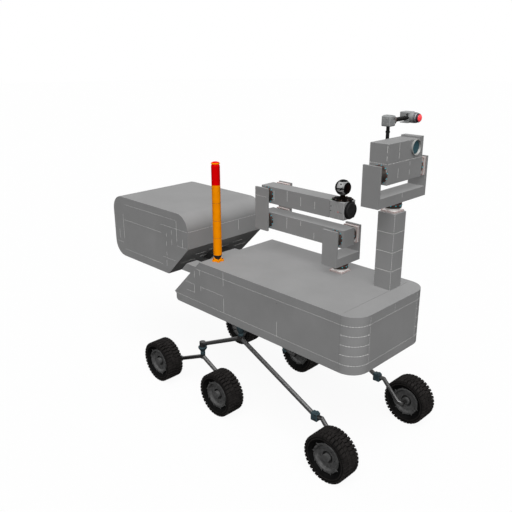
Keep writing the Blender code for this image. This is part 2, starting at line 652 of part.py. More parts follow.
def eye(carrier, x, base_z):
    """Ball camera on a round foot on top of the wrist."""
    foot_top = EYE_FOOT_THICKNESS + EYE_NECK_HEIGHT
    foot = turned([
        (0, foot_top), (EYE_NECK_RADIUS, foot_top),
        (EYE_NECK_RADIUS, EYE_FOOT_THICKNESS + 0.3 * EYE_NECK_HEIGHT),
        (0.7 * EYE_FOOT_RADIUS, EYE_FOOT_THICKNESS), (EYE_FOOT_RADIUS, 0.5 * EYE_FOOT_THICKNESS),
        (EYE_FOOT_RADIUS, 0), (0, 0)])
    finish_mesh("eye_foot", foot, GLOSS_BLACK, (x, MAST_Y, base_z), carrier)
    bm = bmesh.new()
    bmesh.ops.create_uvsphere(bm, u_segments=18, v_segments=12, radius=EYE_RADIUS)
    flat = (EYE_RADIUS ** 2 - EYE_NECK_RADIUS ** 2) ** 0.5
    for axis, level in (((0, 0, -1), flat), ((1, 0, 0), EYE_RADIUS - EYE_WINDOW)):
        cut = bmesh.ops.bisect_plane(
            bm, geom=bm.verts[:] + bm.edges[:] + bm.faces[:], clear_outer=True,
            plane_co=Vector(axis) * level, plane_no=axis, dist=0.00001)
        rim = [e for e in cut["geom_cut"] if isinstance(e, bmesh.types.BMEdge)]
        bmesh.ops.contextual_create(bm, geom=rim)
    place = (x, MAST_Y, base_z + foot_top + SEAT_GAP + flat)
    finish_mesh("eye", mesh_of(bm, "eye"), SILVER, place, carrier)


def tyre_mesh():
    """Tyre ring with two staggered rows of lugs, about Y."""
    half = WHEEL_WIDTH / 2
    crown = WHEEL_RADIUS - LUG_HEIGHT
    bead = RIM_RADIUS - RIM_SEAT
    tread = half - TYRE_SHOULDER
    section = [
        (RIM_RADIUS, half - RIM_INSET), (crown - 1.7 * TYRE_SHOULDER, half), (crown, tread),
        (crown, 0), (crown, -tread), (crown - 1.7 * TYRE_SHOULDER, -half),
        (RIM_RADIUS, RIM_INSET - half), (bead, 0.6 * -half), (bead, 0.6 * half)]
    bm = bmesh.new()
    verts = [bm.verts.new((r, y, 0)) for r, y in section]
    edges = [bm.edges.new((a, b)) for a, b in zip(verts, verts[1:] + verts[:1])]
    bmesh.ops.spin(bm, geom=verts + edges, cent=(0, 0, 0), axis=(0, 1, 0), angle=2 * pi,
                   steps=LUG_STEPS, use_merge=True)
    bmesh.ops.remove_doubles(bm, verts=bm.verts, dist=0.00001)
    bmesh.ops.recalc_face_normals(bm, faces=bm.faces)
    step = 2 * pi / LUG_STEPS
    lugs = []
    for face in bm.faces:
        c = face.calc_center_median()
        radius = (c.x ** 2 + c.z ** 2) ** 0.5
        if radius < 0.985 * crown or abs(c.y) > 0.8 * half:
            continue
        turn = (Vector((c.x, c.z)).angle_signed(Vector((1, 0))) % (2 * pi)) / step
        if (int(turn) + (c.y > 0)) % 2:
            lugs.append(face)
    raised = bmesh.ops.extrude_discrete_faces(bm, faces=lugs)["faces"]
    for face in raised:
        c = face.calc_center_median()
        out = Vector((c.x, 0, c.z)).normalized()
        for v in face.verts:
            v.co = c + (v.co - c) * LUG_TAPER
            flat = Vector((v.co.x, 0, v.co.z))
            v.co += flat.normalized() * (WHEEL_RADIUS - flat.length)
    return mesh_of(bm, "tyre")


def rim_mesh():
    """Shallow rim about Z with a recess round its hub cap and a blind bore for the axle."""
    lip = WHEEL_WIDTH / 2 - RIM_INSET
    outer = RIM_RADIUS - RIM_SEAT - SEAT_GAP
    wall = outer - RIM_FLANGE
    bore = AXLE_RADIUS + AXLE_CLEARANCE
    floor = lip - DISH_DEPTH
    back = floor - DISH_WEB
    face = floor + HUB_CAP_HEIGHT
    recess = floor - HUB_RECESS_DEPTH
    return turned([
        (0, face), (HUB_CAP_RADIUS, face), (HUB_CAP_RADIUS, recess), (HUB_RECESS_RADIUS, recess),
        (HUB_RECESS_RADIUS, floor), (wall - RIM_WALL_TAPER, floor), (wall, lip), (outer, lip),
        (outer, -lip), (wall, -lip), (wall - RIM_WALL_TAPER, back), (HUB_BOSS_RADIUS, back),
        (HUB_BOSS_RADIUS, back - HUB_BOSS_LENGTH), (bore, back - HUB_BOSS_LENGTH),
        (bore, back - HUB_BOSS_LENGTH + AXLE_DEPTH), (0, back - HUB_BOSS_LENGTH + AXLE_DEPTH)], 16)


def wheels():
    """Six wheels, each a tyre on a dished rim, turning about its own axle."""
    tyre = tyre_mesh()
    rim = rim_mesh()
    for end, x in WHEEL_X:
        for side_name, side in SIDES:
            name = f"{end}_{side_name}"
            place = (x, side * WHEEL_TRACK / 2, WHEEL_RADIUS)
            hub = axis_empty("wheel_" + name, place)
            finish_mesh("tyre_" + name, tyre.copy(), TYRE_BLACK, place, hub)
            turned_rim = moved(rim.copy(), Matrix.Rotation(-side * pi / 2, 4, "X"))
            finish_mesh("rim_" + name, turned_rim, RIM_GREY, place, hub)


# Frames: their plane beside the tyres, and the heights and places of their nodes
frame_y = (WHEEL_TRACK - WHEEL_WIDTH) / 2 - FRAME_TYRE_GAP - FRAME_TUBE
hub_x = dict(WHEEL_X)
rocker_z = floor_z - ROCKER_DROP
bogie_x = hub_x["rear"] + BOGIE_AHEAD
bogie_z = WHEEL_RADIUS + BOGIE_RISE
tail_z = bogie_z + TAIL_RISE


def stub(x, side):
    """Axle stub from the frame's plane out into the rim's bore."""
    rim_back = WHEEL_WIDTH / 2 - RIM_INSET - DISH_DEPTH - DISH_WEB - HUB_BOSS_LENGTH
    end_y = WHEEL_TRACK / 2 + rim_back + AXLE_DEPTH - AXLE_CLEARANCE
    length = end_y - frame_y
    return disc(AXLE_RADIUS, length, (x, side * (frame_y + length / 2), WHEEL_RADIUS),
                axis="Y", sides=16)


def hull_pivot(side_name, side):
    """Pivot housing under the hull floor that carries the rocker's middle."""
    low = rocker_z + ROCKER_NODE[0] + SEAT_GAP
    height = floor_z - SEAT_GAP - low
    head, middle, waist = HULL_PIVOT_RADII
    housing = turned([
        (0, height), (head, height), (head, 0.82 * height), (middle, 0.45 * height),
        (waist, 0.2 * height), (PIVOT_COLLAR_RADIUS, 0.18 * height), (PIVOT_COLLAR_RADIUS, 0),
        (0, 0)], 20)
    finish_mesh("hull_pivot_" + side_name, housing, FITTING_TEAL,
                (ROCKER_X, side * frame_y, low))


def rocker(side_name, side):
    """Rocker of welded tube: tail to the bogie, front tube, knee fitting and leg."""
    y = side * frame_y
    r = FRAME_TUBE
    front_x = hub_x["front"]
    middle = (ROCKER_X, y, rocker_z)
    ball = (bogie_x, y, tail_z)
    knee = (front_x - KNEE_BACK, y, WHEEL_RADIUS + KNEE_RISE)
    front = tube([middle, knee], r)
    parts = [
        tube([ball, middle], r),
        tube([knee, (front_x - LEG_BACK, y, WHEEL_RADIUS + LEG_RISE),
              (front_x - LEG_BEND, y, WHEEL_RADIUS + BEND_RISE), (front_x + r, y, WHEEL_RADIUS)], r),
        disc(*ROCKER_NODE, middle, axis="Y", sides=16),
        disc(*ROCKER_BALL, ball, sides=16),
        block(KNEE_FITTING, knee, chamfer=KNEE_CHAMFER),
        stub(front_x, side)]
    finish_mesh("rocker_" + side_name, combine(front, parts), TUBE_GREY, (0, 0, 0))


def bogie_pivot(side_name, side):
    """Pivot housing between the rocker's tail and the bogie."""
    low = bogie_z + BOGIE_NODE[1] / 2 + SEAT_GAP
    height = tail_z - ROCKER_BALL[1] / 2 - SEAT_GAP - low
    head, cone, waist = BOGIE_PIVOT_RADII
    housing = turned([
        (0, height), (head, height), (head, 0.84 * height), (cone, 0.42 * height),
        (waist, 0.4 * height), (PIVOT_COLLAR_RADIUS, 0.36 * height), (PIVOT_COLLAR_RADIUS, 0),
        (0, 0)], 20)
    finish_mesh("bogie_pivot_" + side_name, housing, FITTING_TEAL, (bogie_x, side * frame_y, low))


def bogie(side_name, side):
    """Bogie of welded tube between the middle and rear axles."""
    y = side * frame_y
    r = FRAME_TUBE
    node = (bogie_x, y, bogie_z)
    arms = []
    for end, bend, way in zip(("middle", "rear"), BOGIE_BENDS, (1, -1)):
        x = hub_x[end]
        arms.append(tube([node, (x - way * bend, y, WHEEL_RADIUS + BEND_RISE),
                          (x + way * r, y, WHEEL_RADIUS)], r))
        arms.append(stub(x, side))
    solid = combine(arms[0], [*arms[1:], disc(*BOGIE_NODE, node, sides=16)])
    finish_mesh("bogie_" + side_name, solid, TUBE_GREY, (0, 0, 0))


hull()
pod()
pod_neck()
beacon()
lamp_boom(*mast_and_head())
arm()
wheels()
for side_name, side in SIDES:
    hull_pivot(side_name, side)
    rocker(side_name, side)
    bogie_pivot(side_name, side)
    bogie(side_name, side)
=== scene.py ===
from math import cos, pi, radians, sin

import bmesh
import bpy
from mathutils import Matrix, Vector


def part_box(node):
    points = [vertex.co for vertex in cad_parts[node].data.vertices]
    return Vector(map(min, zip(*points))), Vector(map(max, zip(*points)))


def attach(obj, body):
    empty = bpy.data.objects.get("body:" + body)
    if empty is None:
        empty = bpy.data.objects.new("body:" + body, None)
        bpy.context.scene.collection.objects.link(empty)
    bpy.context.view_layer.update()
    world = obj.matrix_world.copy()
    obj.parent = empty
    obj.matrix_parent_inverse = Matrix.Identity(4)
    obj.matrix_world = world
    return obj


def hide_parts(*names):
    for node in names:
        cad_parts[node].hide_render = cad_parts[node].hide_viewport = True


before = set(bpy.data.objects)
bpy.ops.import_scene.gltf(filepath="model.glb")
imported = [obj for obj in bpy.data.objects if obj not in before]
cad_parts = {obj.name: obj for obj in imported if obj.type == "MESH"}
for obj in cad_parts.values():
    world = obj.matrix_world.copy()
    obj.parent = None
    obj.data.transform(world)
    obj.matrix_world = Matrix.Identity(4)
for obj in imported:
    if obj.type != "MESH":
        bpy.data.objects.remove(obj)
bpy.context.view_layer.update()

scene = bpy.context.scene
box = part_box


# Studio. A plain white floor and surround, a pair of large soft lamps high over the right
# front and a weak even fill, with the camera in front of the vehicle's right corner.
CAMERA_PLACE = (2.34701, -2.31260, 1.99435)
CAMERA_TURN = radians(45.324)
CAMERA_TILT = radians(90 - 19.4725)
CAMERA_ROLL = radians(-0.290)
LENS_MM = 43.375
KEY_STRENGTH = 1.3
SOFT_STRENGTH = 3.0
KEY_HEIGHT = radians(56)
KEY_TURN = radians(45)
KEY_SPREAD = radians(50)

view = bpy.data.cameras.new("view")
view.lens = LENS_MM
view.sensor_width = 36
camera = bpy.data.objects.new("view", view)
camera.matrix_world = (
    Matrix.Translation(CAMERA_PLACE) @ Matrix.Rotation(CAMERA_TURN, 4, "Z")
    @ Matrix.Rotation(CAMERA_TILT, 4, "X") @ Matrix.Rotation(CAMERA_ROLL, 4, "Z"))
scene.collection.objects.link(camera)
scene.camera = camera
scene.view_settings.view_transform = "Standard"

for name, strength, casts in (("key", KEY_STRENGTH, True), ("soft_key", SOFT_STRENGTH, False)):
    lamp_data = bpy.data.lights.new(name, "SUN")
    lamp_data.energy = strength
    lamp_data.angle = KEY_SPREAD
    lamp_data.use_shadow = casts
    key = bpy.data.objects.new(name, lamp_data)
    key.rotation_euler = (radians(90) - KEY_HEIGHT, 0, KEY_TURN)
    scene.collection.objects.link(key)


class Value:
    """A socket of a node tree that can be used in sums, differences and products."""

    def __init__(self, tree, socket):
        self.tree = tree
        self.socket = socket

    def maths(self, operation, first, second):
        node = self.tree.nodes.new("ShaderNodeMath")
        node.operation = operation
        for slot, item in zip(node.inputs, (first, second)):
            if isinstance(item, Value):
                self.tree.links.new(item.socket, slot)
            else:
                slot.default_value = item
        return Value(self.tree, node.outputs[0])

    def __add__(self, other):
        return self.maths("ADD", self, other)

    def __mul__(self, other):
        return self.maths("MULTIPLY", self, other)

    def __sub__(self, other):
        return self.maths("SUBTRACT", self, other)

    def __rsub__(self, other):
        return self.maths("SUBTRACT", other, self)


class Tree:
    """A node tree with one method that makes any node and joins it up."""

    def __init__(self, owner):
        owner.use_nodes = True
        self.tree = owner.node_tree
        self.tree.nodes.clear()

    def node(self, kind, settings=None, output=0, **sockets):
        made = self.tree.nodes.new("ShaderNode" + kind)
        for name, value in (settings or {}).items():
            if name == "stops":
                ramp = made.color_ramp
                while len(ramp.elements) < len(value):
                    ramp.elements.new(0.5)
                for stop, (place, colour) in zip(ramp.elements, value):
                    stop.position = place
                    stop.color = (*colour, 1) if len(colour) == 3 else colour
            else:
                setattr(made, name, value)
        for name, value in sockets.items():
            key = int(name[1:]) if name[0] == "n" and name[1:].isdigit() else name.replace("_", " ")
            slot = made.inputs[key]
            if isinstance(value, Value):
                self.tree.links.new(value.socket, slot)
            else:
                slot.default_value = value
        return Value(self.tree, made.outputs[output]) if made.outputs else None


world = bpy.data.worlds.new("surround")
scene.world = world
sky = Tree(world)
seen = sky.node("LightPath", output="Is Camera Ray")
mirrored = sky.node("LightPath", output="Is Glossy Ray")
through = sky.node("LightPath", output="Is Transmission Ray")
fill = sky.node("Background", Color=(1, 1, 1, 1), Strength=0.20)
shine = sky.node("Background", Color=(1, 1, 1, 1), Strength=0.75)
white = sky.node("Background", Color=(1, 1, 1, 1), Strength=1.0)
either = sky.node("MixShader", n0=mirrored + through, n1=fill, n2=shine)
sky.node("OutputWorld", Surface=sky.node("MixShader", n0=seen, n1=either, n2=white))

bm = bmesh.new()
bmesh.ops.create_circle(bm, cap_ends=True, segments=48, radius=30)
floor_mesh = bpy.data.meshes.new("studio_floor")
bm.to_mesh(floor_mesh)
bm.free()
studio_floor = bpy.data.objects.new("studio_floor", floor_mesh)
scene.collection.objects.link(studio_floor)
floor_paint = bpy.data.materials.new("studio_white")
ground = Tree(floor_paint)
paper = ground.node("BsdfDiffuse", Color=(0.10, 0.10, 0.10, 1))
glow = ground.node("Emission", Color=(1, 1, 1, 1), Strength=0.86)
lit = ground.node("AddShader", n0=paper, n1=glow)
shown = ground.node("LightPath", output="Is Camera Ray")
ground.node("OutputMaterial", Surface=ground.node("MixShader", n0=shown, n1=paper, n2=lit))
floor_mesh.materials.append(floor_paint)


# Hull. A box of folded and welded sheet, painted satin grey, on a 49 mm grid of panels with
# pale sealed seams. Its front corners are rolled, and three tabs stand on its slanted rear.
PANEL = 0.049
SEAM_WIDTH = 0.0017
SEAM_PROUD = 0.0002
DASH = 0.0070
DASH_PITCH = 0.0120
HULL_EDGE = 0.0012
corner_x, side_y, deck_z = box("hull")[1]


class Finish(Tree):
    """A material built round one Principled shader, with its own texture helpers."""

    def __init__(self, name, roughness=0.5, metallic=0.0, coat=0.0, specular=0.5):
        self.material = bpy.data.materials.new(name)
        super().__init__(self.material)
        self.place = self.node("TexCoord", output="Object")
        self.shader = self.tree.nodes.new("ShaderNodeBsdfPrincipled")
        self.set("Roughness", roughness)
        self.set("Metallic", metallic)
        self.set("Coat Weight", coat)
        self.set("Specular IOR Level", specular)
        self.node("OutputMaterial", Surface=Value(self.tree, self.shader.outputs[0]))

    def set(self, name, value):
        slot = self.shader.inputs[name]
        if isinstance(value, Value):
            self.tree.links.new(value.socket, slot)
        else:
            slot.default_value = value

    def noise(self, scale, detail=3.0, stretch=(1, 1, 1)):
        at = self.node("Mapping", Vector=self.place, Scale=stretch)
        return self.node("TexNoise", Vector=at, Scale=scale, Detail=detail, Roughness=0.55)

    def bump(self, height, strength, distance):
        self.set("Normal", self.node(
            "Bump", Height=height, Strength=strength, Distance=distance))

    def shades(self, mask, dark, light, low=0.3, high=0.7):
        """Base colour that runs from dark to light as the mask goes from low to high."""
        self.set("Base Color", self.node(
            "ValToRGB", {"stops": ((low, dark), (high, light))}, Fac=mask))


# Satin grey paint: faint orange peel, slow drift of tone and a dusting of fine specks
PAINT_SHADE = 0.243
grey_paint = Finish("satin_grey_paint", specular=0.03)
drift = grey_paint.noise(5.0, 4.0)
speck = grey_paint.noise(900.0, 1.0)
grey_paint.shades(drift * 0.75 + speck * 0.25, (PAINT_SHADE * 0.93,) * 3, (PAINT_SHADE * 1.07,) * 3)
grey_paint.set("Roughness", drift * 0.22 + 0.44)
grey_paint.bump(grey_paint.noise(420.0, 2.0) + speck * 0.3, 0.10, 0.0004)


def hang(name, mesh, body, paint, finish_slot, *stands_for):
    """Link a mesh as a piece that rides on a body, in place of CAD nodes if any are named."""
    made = bpy.data.objects.new(name, mesh)
    scene.collection.objects.link(made)
    mesh.materials.append(paint.material)
    mesh.shade_smooth()
    mesh.set_sharp_from_angle(angle=radians(35))
    made.modifiers.new("flat_faces", "WEIGHTED_NORMAL").keep_sharp = True
    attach(made, body)
    if stands_for:
        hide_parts(*stands_for)


def to_mesh(bm, name):
    """Turn a bmesh into a mesh with doubles merged and faces pointing out."""
    bmesh.ops.remove_doubles(bm, verts=bm.verts, dist=0.00001)
    bmesh.ops.recalc_face_normals(bm, faces=bm.faces)
    mesh = bpy.data.meshes.new(name)
    bm.to_mesh(mesh)
    bm.free()
    return mesh


def piece(name, bm, body, paint, finish_slot, *stands_for):
    """Make a bmesh into a mesh of the same name and hang it on a body."""
    hang(name, to_mesh(bm, name), body, paint, finish_slot, *stands_for)


def softened(node, body, paint, finish_slot, width=HULL_EDGE):
    """A CAD node's own shape with its sharp edges rounded, as a finished piece in its place."""
    bm = bmesh.new()
    bm.from_mesh(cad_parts[node].data)
    bmesh.ops.remove_doubles(bm, verts=bm.verts, dist=0.00001)
    bmesh.ops.dissolve_limit(
        bm, angle_limit=radians(0.5), verts=bm.verts, edges=bm.edges, delimit={"NORMAL"})
    sharp = [e for e in bm.edges if e.is_manifold and e.calc_face_angle(0) > radians(40)]
    bmesh.ops.bevel(bm, geom=sharp, offset=width, segments=2, profile=0.5,
                    affect="EDGES", clamp_overlap=True, material=-1)
    piece(node + "_shell", bm, body, paint, finish_slot, node)


softened("hull", "chassis", grey_paint, "hull_paint")

pale_seal = Finish("pale_seal", 0.5, specular=0.2)
pale_seal.shades(pale_seal.noise(160.0), (0.70, 0.70, 0.68), (0.92, 0.92, 0.90))
# Dark colour for seams and grooves. It also fills drawn holes as painted shade.
dark_groove_and_shade = Finish("dark_groove_and_shade", 0.8, specular=0.1)
dark_groove_and_shade.shades(dark_groove_and_shade.noise(90.0), (0.022,) * 3, (0.045,) * 3)


def bar(bm, start, end, normal, width, proud, sunk=0.0003):
    """Thin bar with a crowned top along a straight run on a surface."""
    start, end, normal = Vector(start), Vector(end), Vector(normal).normalized()
    along = end - start
    made = bmesh.ops.create_cube(bm, size=1.0)["verts"]
    across = normal.cross(along).normalized()
    for v in made:
        side = v.co.y * (0.6 if v.co.z > 0 else 1.0)
        lift = proud if v.co.z > 0 else -sunk
        v.co = start + along * (v.co.x + 0.5) + across * side * width + normal * lift


def dashes(bm, start, end, normal, width=SEAM_WIDTH, proud=SEAM_PROUD):
    """Row of short bars along a straight run, as a sealed seam shows between its rivets."""
    start, end = Vector(start), Vector(end)
    count = max(1, round((end - start).length / DASH_PITCH))
    step = (end - start) / count
    part = DASH / DASH_PITCH
    for i in range(count):
        at = start + step * i
        bar(bm, at, at + step * part, normal, width, proud)


def arc_dashes(bm, centre, radius, sweep, count, part, width, proud, sunk=0.0003):
    """Row of short bars round an arc about Z that starts along X."""
    for i in range(count):
        a, b = (sweep * (i + share) / count for share in part)
        ends = [Vector(centre) + Vector((cos(t), sin(t), 0)) * radius for t in (a, b)]
        bar(bm, *ends, (cos((a + b) / 2), sin((a + b) / 2), 0), width, proud, sunk)


CORNER_RADIUS = 0.095
CORNER_DASHES = 11
corner_y = side_y - CORNER_RADIUS
levels = [deck_z - PANEL * (0.96 + i) for i in range(5)]

# Runs on the hull's sides as (from x, from z, to x, to z), dashed unless marked plain
SIDE_SEAMS = (
    (-0.176, levels[0], 0.835, levels[0], False), (-0.362, levels[4], 0.835, levels[4], False),
    (-0.139, levels[2], 0.049, levels[2], False), (-0.268, levels[2], -0.195, levels[2], False),
    (-0.264, levels[3], -0.197, levels[3], False), (0.051, 0.822, 0.051, 0.746, True),
    (0.051, 0.672, 0.051, levels[4], True), (0.444, 0.666, 0.444, levels[4], True),
    (-0.145, levels[0], -0.145, 0.752, True),
    (-0.190, 0.767, -0.190, 0.728, True), (-0.194, 0.686, -0.196, 0.632, True),
    (-0.139, 0.690, -0.139, 0.662, True))
bm = bmesh.new()
for side in (-1, 1):
    y = side * side_y
    normal = (0, side, 0)
    for x0, z0, x1, z1, plain in SIDE_SEAMS:
        run, width = (bar, SEAM_WIDTH * 0.9) if plain else (dashes, SEAM_WIDTH)
        run(bm, (x0, y, z0), (x1, y, z1), normal, width, SEAM_PROUD)
    for z in levels:
        arc_dashes(bm, (corner_x - CORNER_RADIUS, side * corner_y, z), CORNER_RADIUS,
                   side * pi / 2, CORNER_DASHES, (0.2, 0.8), 0.0014, 0.0004)
for z in (levels[0], levels[4]):
    dashes(bm, (corner_x, -corner_y, z), (corner_x, corner_y, z), (1, 0, 0))
dashes(bm, (corner_x, 0, 0.822), (corner_x, 0, levels[0]), (1, 0, 0), 0.0010)
for y in (-0.192, 0.192):
    dashes(bm, (corner_x, y, 0.818), (corner_x, y, 0.585), (1, 0, 0), 0.0011)
piece("hull_seams", bm, "chassis", pale_seal, "light_alloy")

DECK_SEAM_X = 0.830
DECK_SEAM_REACH = 0.262
bm = bmesh.new()
bar(bm, (DECK_SEAM_X, -DECK_SEAM_REACH, deck_z), (DECK_SEAM_X, DECK_SEAM_REACH, deck_z),
    (0, 0, 1), 0.0012, 0.0002)
for side in (-1, 1):
    y = side * side_y
    dashes(bm, (0.835, y, 0.820), (0.835, y, 0.560), (0, side, 0), 0.0008)
    bar(bm, (0.4415, y, 0.765), (0.4445, y, 0.765), (0, side, 0), 0.0036, SEAM_PROUD)
piece("deck_seam", bm, "chassis", dark_groove_and_shade, "black_plastic")


# Rear pod and its neck. The pod is a closed sheet housing with rolled edges and a slanted
# underside, painted and panelled like the hull. A black rubber neck joins it to the tabs.
pod_low, pod_high = box("rear_pod")

softened("rear_pod", "chassis", grey_paint, "hull_paint")
pod_front = pod_high[0]
CHAMFER = 0.193
bevel_from = Vector((pod_front - CHAMFER, 0, pod_low[2]))
bevel_to = Vector((pod_front, 0, pod_low[2] + CHAMFER))
bevel_out = Vector((1, 0, -1)).normalized()
bevel_along = (bevel_to - bevel_from).normalized()
bm = bmesh.new()
for share, reach in ((0.42, 0.27), (0.66, 0.19)):
    at = bevel_from + (bevel_to - bevel_from) * share + bevel_out * 0.0004
    for k in range(4):
        drop = bevel_along * (0.010 if k % 2 else -0.004)
        spot = at + drop + Vector((0, (k - 1.5) * reach / 2, 0))
        half = Vector((0, reach / 5, 0))
        dashes(bm, spot - half, spot + half, bevel_out, 0.0014, 0.0004)

# Runs on the pod's sides, written in the same way
POD_SEAMS = (
    (-0.845, 1.029, -0.343, 1.029, False), (-0.866, 0.929, -0.477, 0.929, False),
    (-0.486, 0.979, -0.240, 0.979, False), (-0.873, 0.735, -0.479, 0.735, False),
    (-0.475, 0.784, -0.356, 0.784, False), (-0.337, 0.880, -0.246, 0.880, False),
    (-0.960, 0.776, -0.884, 0.776, False), (-0.877, 0.962, -0.877, 0.806, True),
    (-0.925, 0.858, -0.925, 0.796, True), (-0.337, 1.029, -0.337, 0.903, True),
    (-0.384, 0.963, -0.384, 0.936, True), (-0.386, 0.906, -0.386, 0.874, True),
    (-0.434, 0.936, -0.434, 0.914, True), (-0.436, 0.884, -0.436, 0.856, True),
    (-0.438, 0.820, -0.438, 0.799, True), (-0.443, 0.768, -0.443, 0.731, True),
    (-0.286, 0.929, -0.286, 0.880, True))
for side in (-1, 1):
    for x0, z0, x1, z1, plain in POD_SEAMS:
        run = bar if plain else dashes
        run(bm, (x0, side * side_y, z0), (x1, side * side_y, z1), (0, side, 0),
            SEAM_WIDTH, SEAM_PROUD)
dashes(bm, (pod_front, -0.284, 0.979), (pod_front, 0.284, 0.979), (1, 0, 0))
for y in (-0.1, 0.097):
    bar(bm, (pod_front, y, 0.975), (pod_front, y, 0.914), (1, 0, 0), SEAM_WIDTH, SEAM_PROUD)
piece("pod_seams", bm, "chassis", pale_seal, "light_alloy")

# Black rubber for the necks. The same black lines the hub recesses and fills the knee's holes as
# painted shade.
black_rubber_and_shade = Finish("black_rubber_and_shade", 0.75, specular=0.2)
black_rubber_and_shade.shades(black_rubber_and_shade.noise(60.0), (0.008,) * 3, (0.018,) * 3)
black_rubber_and_shade.bump(black_rubber_and_shade.noise(500.0), 0.2, 0.0004)
softened("pod_neck", "chassis", black_rubber_and_shade, "black_plastic", 0.002)


# Beacon. A signal column of four moulded orange stages and a red top on a black neck,
# screwed to the deck through a lobed orange foot.
orange_stage = Finish("orange_stage", 0.5, specular=0.03)
orange_stage.shades(orange_stage.noise(30.0), (0.78, 0.230, 0.0), (0.86, 0.265, 0.0))
orange_stage.bump(orange_stage.noise(700.0, 2.0), 0.06, 0.0003)
red_stage = Finish("red_stage", 0.5, specular=0.03)
red_stage.shades(red_stage.noise(30.0), (0.60, 0.0, 0.0005), (0.72, 0.0, 0.0015))

softened("beacon_foot", "chassis", orange_stage, "beacon_orange", 0.0012)
softened("beacon_neck", "chassis", black_rubber_and_shade, "black_plastic", 0.0008)


def middle(node):
    """Centre of a CAD node's box."""
    low, high = box(node)
    return (Vector(low) + Vector(high)) / 2


def quarter_turn(centre, axis, way=1):
    """Place and turn that lay a shape made about Z along another axis."""
    return Matrix.Translation(centre) @ Matrix.Rotation(way * pi / 2, 4, axis)


def stood(centre, out):
    """Place and turn that stand a shape made about Z on a surface, along its normal."""
    return Matrix.Translation(centre) @ Vector(out).to_track_quat("Z", "Y").to_matrix().to_4x4()


def turned(bm, profile, steps=48, matrix=Matrix.Identity(4)):
    """Spin a profile of (radius, height) about Z and close it, then place it."""
    verts = [bm.verts.new((r, 0, z)) for r, z in profile]
    edges = [bm.edges.new(pair) for pair in zip(verts, verts[1:])]
    bmesh.ops.spin(bm, geom=verts + edges, cent=(0, 0, 0), axis=(0, 0, 1),
                   angle=2 * pi, steps=steps, use_merge=True)
    faces = {f for e in edges for f in e.link_faces}
    spread = list(faces)
    while spread:
        for edge in spread.pop().edges:
            for face in edge.link_faces:
                if face not in faces:
                    faces.add(face)
                    spread.append(face)
    whole = list({v for f in faces for v in f.verts} | set(verts))
    bmesh.ops.transform(bm, matrix=matrix, verts=whole)


STAGES = 4
STAGE_DASHES = 14
tube_low, tube_high = box("beacon_tube")
beacon_r = (tube_high[0] - tube_low[0]) / 2
beacon_at = middle("beacon_tube")
beacon_at.z = 0
beacon_place = Matrix.Translation(beacon_at)
stage_height = (tube_high[2] - tube_low[2]) / STAGES
stage_ends = [tube_low[2] + stage_height * i for i in range(STAGES + 1)]
bm = bmesh.new()
for low, high in zip(stage_ends, stage_ends[1:]):
    turned(bm, [(0, low), (beacon_r - 0.0016, low), (beacon_r - 0.0016, low + 0.0009),
                (beacon_r, low + 0.0016), (beacon_r, high - 0.0010), (beacon_r - 0.0006, high),
                (0, high)], 48, beacon_place)
piece("beacon_stages", bm, "chassis", orange_stage, "beacon_orange", "beacon_tube")

cap_low, cap_high = box("beacon_cap")[0][2], box("beacon_cap")[1][2]
bm = bmesh.new()
turned(bm, [(0, cap_low), (beacon_r, cap_low), (beacon_r, cap_high - 0.012),
            (beacon_r * 0.97, cap_high - 0.0095), (beacon_r * 0.90, cap_high - 0.0080),
            (beacon_r * 0.90, cap_high - 0.0060), (beacon_r * 0.72, cap_high - 0.0025),
            (beacon_r * 0.48, cap_high - 0.0005), (0, cap_high)], 48, beacon_place)
turned(bm, [(0, cap_high + 0.0052), (beacon_r * 0.86, cap_high + 0.0052),
            (beacon_r * 0.80, cap_high + 0.0074), (beacon_r * 0.45, cap_high + 0.0098),
            (0, cap_high + 0.0104)], 40, beacon_place)
piece("beacon_top", bm, "chassis", red_stage, "beacon_red", "beacon_cap")
bm = bmesh.new()
turned(bm, [(0, cap_high - 0.003), (beacon_r * 0.86, cap_high - 0.003),
            (beacon_r * 1.02, cap_high - 0.0005), (beacon_r * 1.02, cap_high + 0.0032),
            (beacon_r * 0.88, cap_high + 0.0050), (0, cap_high + 0.0050)], 48, beacon_place)
piece("beacon_crown", bm, "chassis", orange_stage, "beacon_orange")
bm = bmesh.new()
for z in stage_ends[1:-1]:
    arc_dashes(bm, (*beacon_at.xy, z), beacon_r, 2 * pi, STAGE_DASHES, (0.1, 0.75), 0.0012, 0.0004,
               0.0016)
piece("stage_seams", bm, "chassis", dark_groove_and_shade, "black_plastic")

blued_screw = Finish("blued_screw", metallic=0.8)
blued_screw.set("Base Color", (0.05, 0.05, 0.055, 1))
blued_screw.set("Roughness", blued_screw.noise(400.0) * 0.3 + 0.2)


def screw_head(bm, centre, out, radius, height):
    """Tapered screw head with a sunk socket, standing on a surface."""
    made = bmesh.ops.create_cone(
        bm, cap_ends=True, segments=18, radius1=radius, radius2=radius * 0.86, depth=height)
    verts = made["verts"]
    top = max((f for v in verts for f in v.link_faces), key=lambda f: f.calc_center_median().z)
    ring = bmesh.ops.inset_region(bm, faces=[top], thickness=radius * 0.38, depth=0)
    sunk = bmesh.ops.extrude_face_region(bm, geom=[top])
    deep = [v for v in sunk["geom"] if isinstance(v, bmesh.types.BMVert)]
    bmesh.ops.translate(bm, vec=(0, 0, -height * 0.5), verts=deep)
    bmesh.ops.delete(bm, geom=[top], context="FACES")
    whole = list(set(verts) | set(deep) | {v for f in ring["faces"] for v in f.verts})
    bmesh.ops.translate(bm, vec=(0, 0, height / 2), verts=whole)
    bmesh.ops.transform(bm, matrix=stood(centre, out), verts=whole)


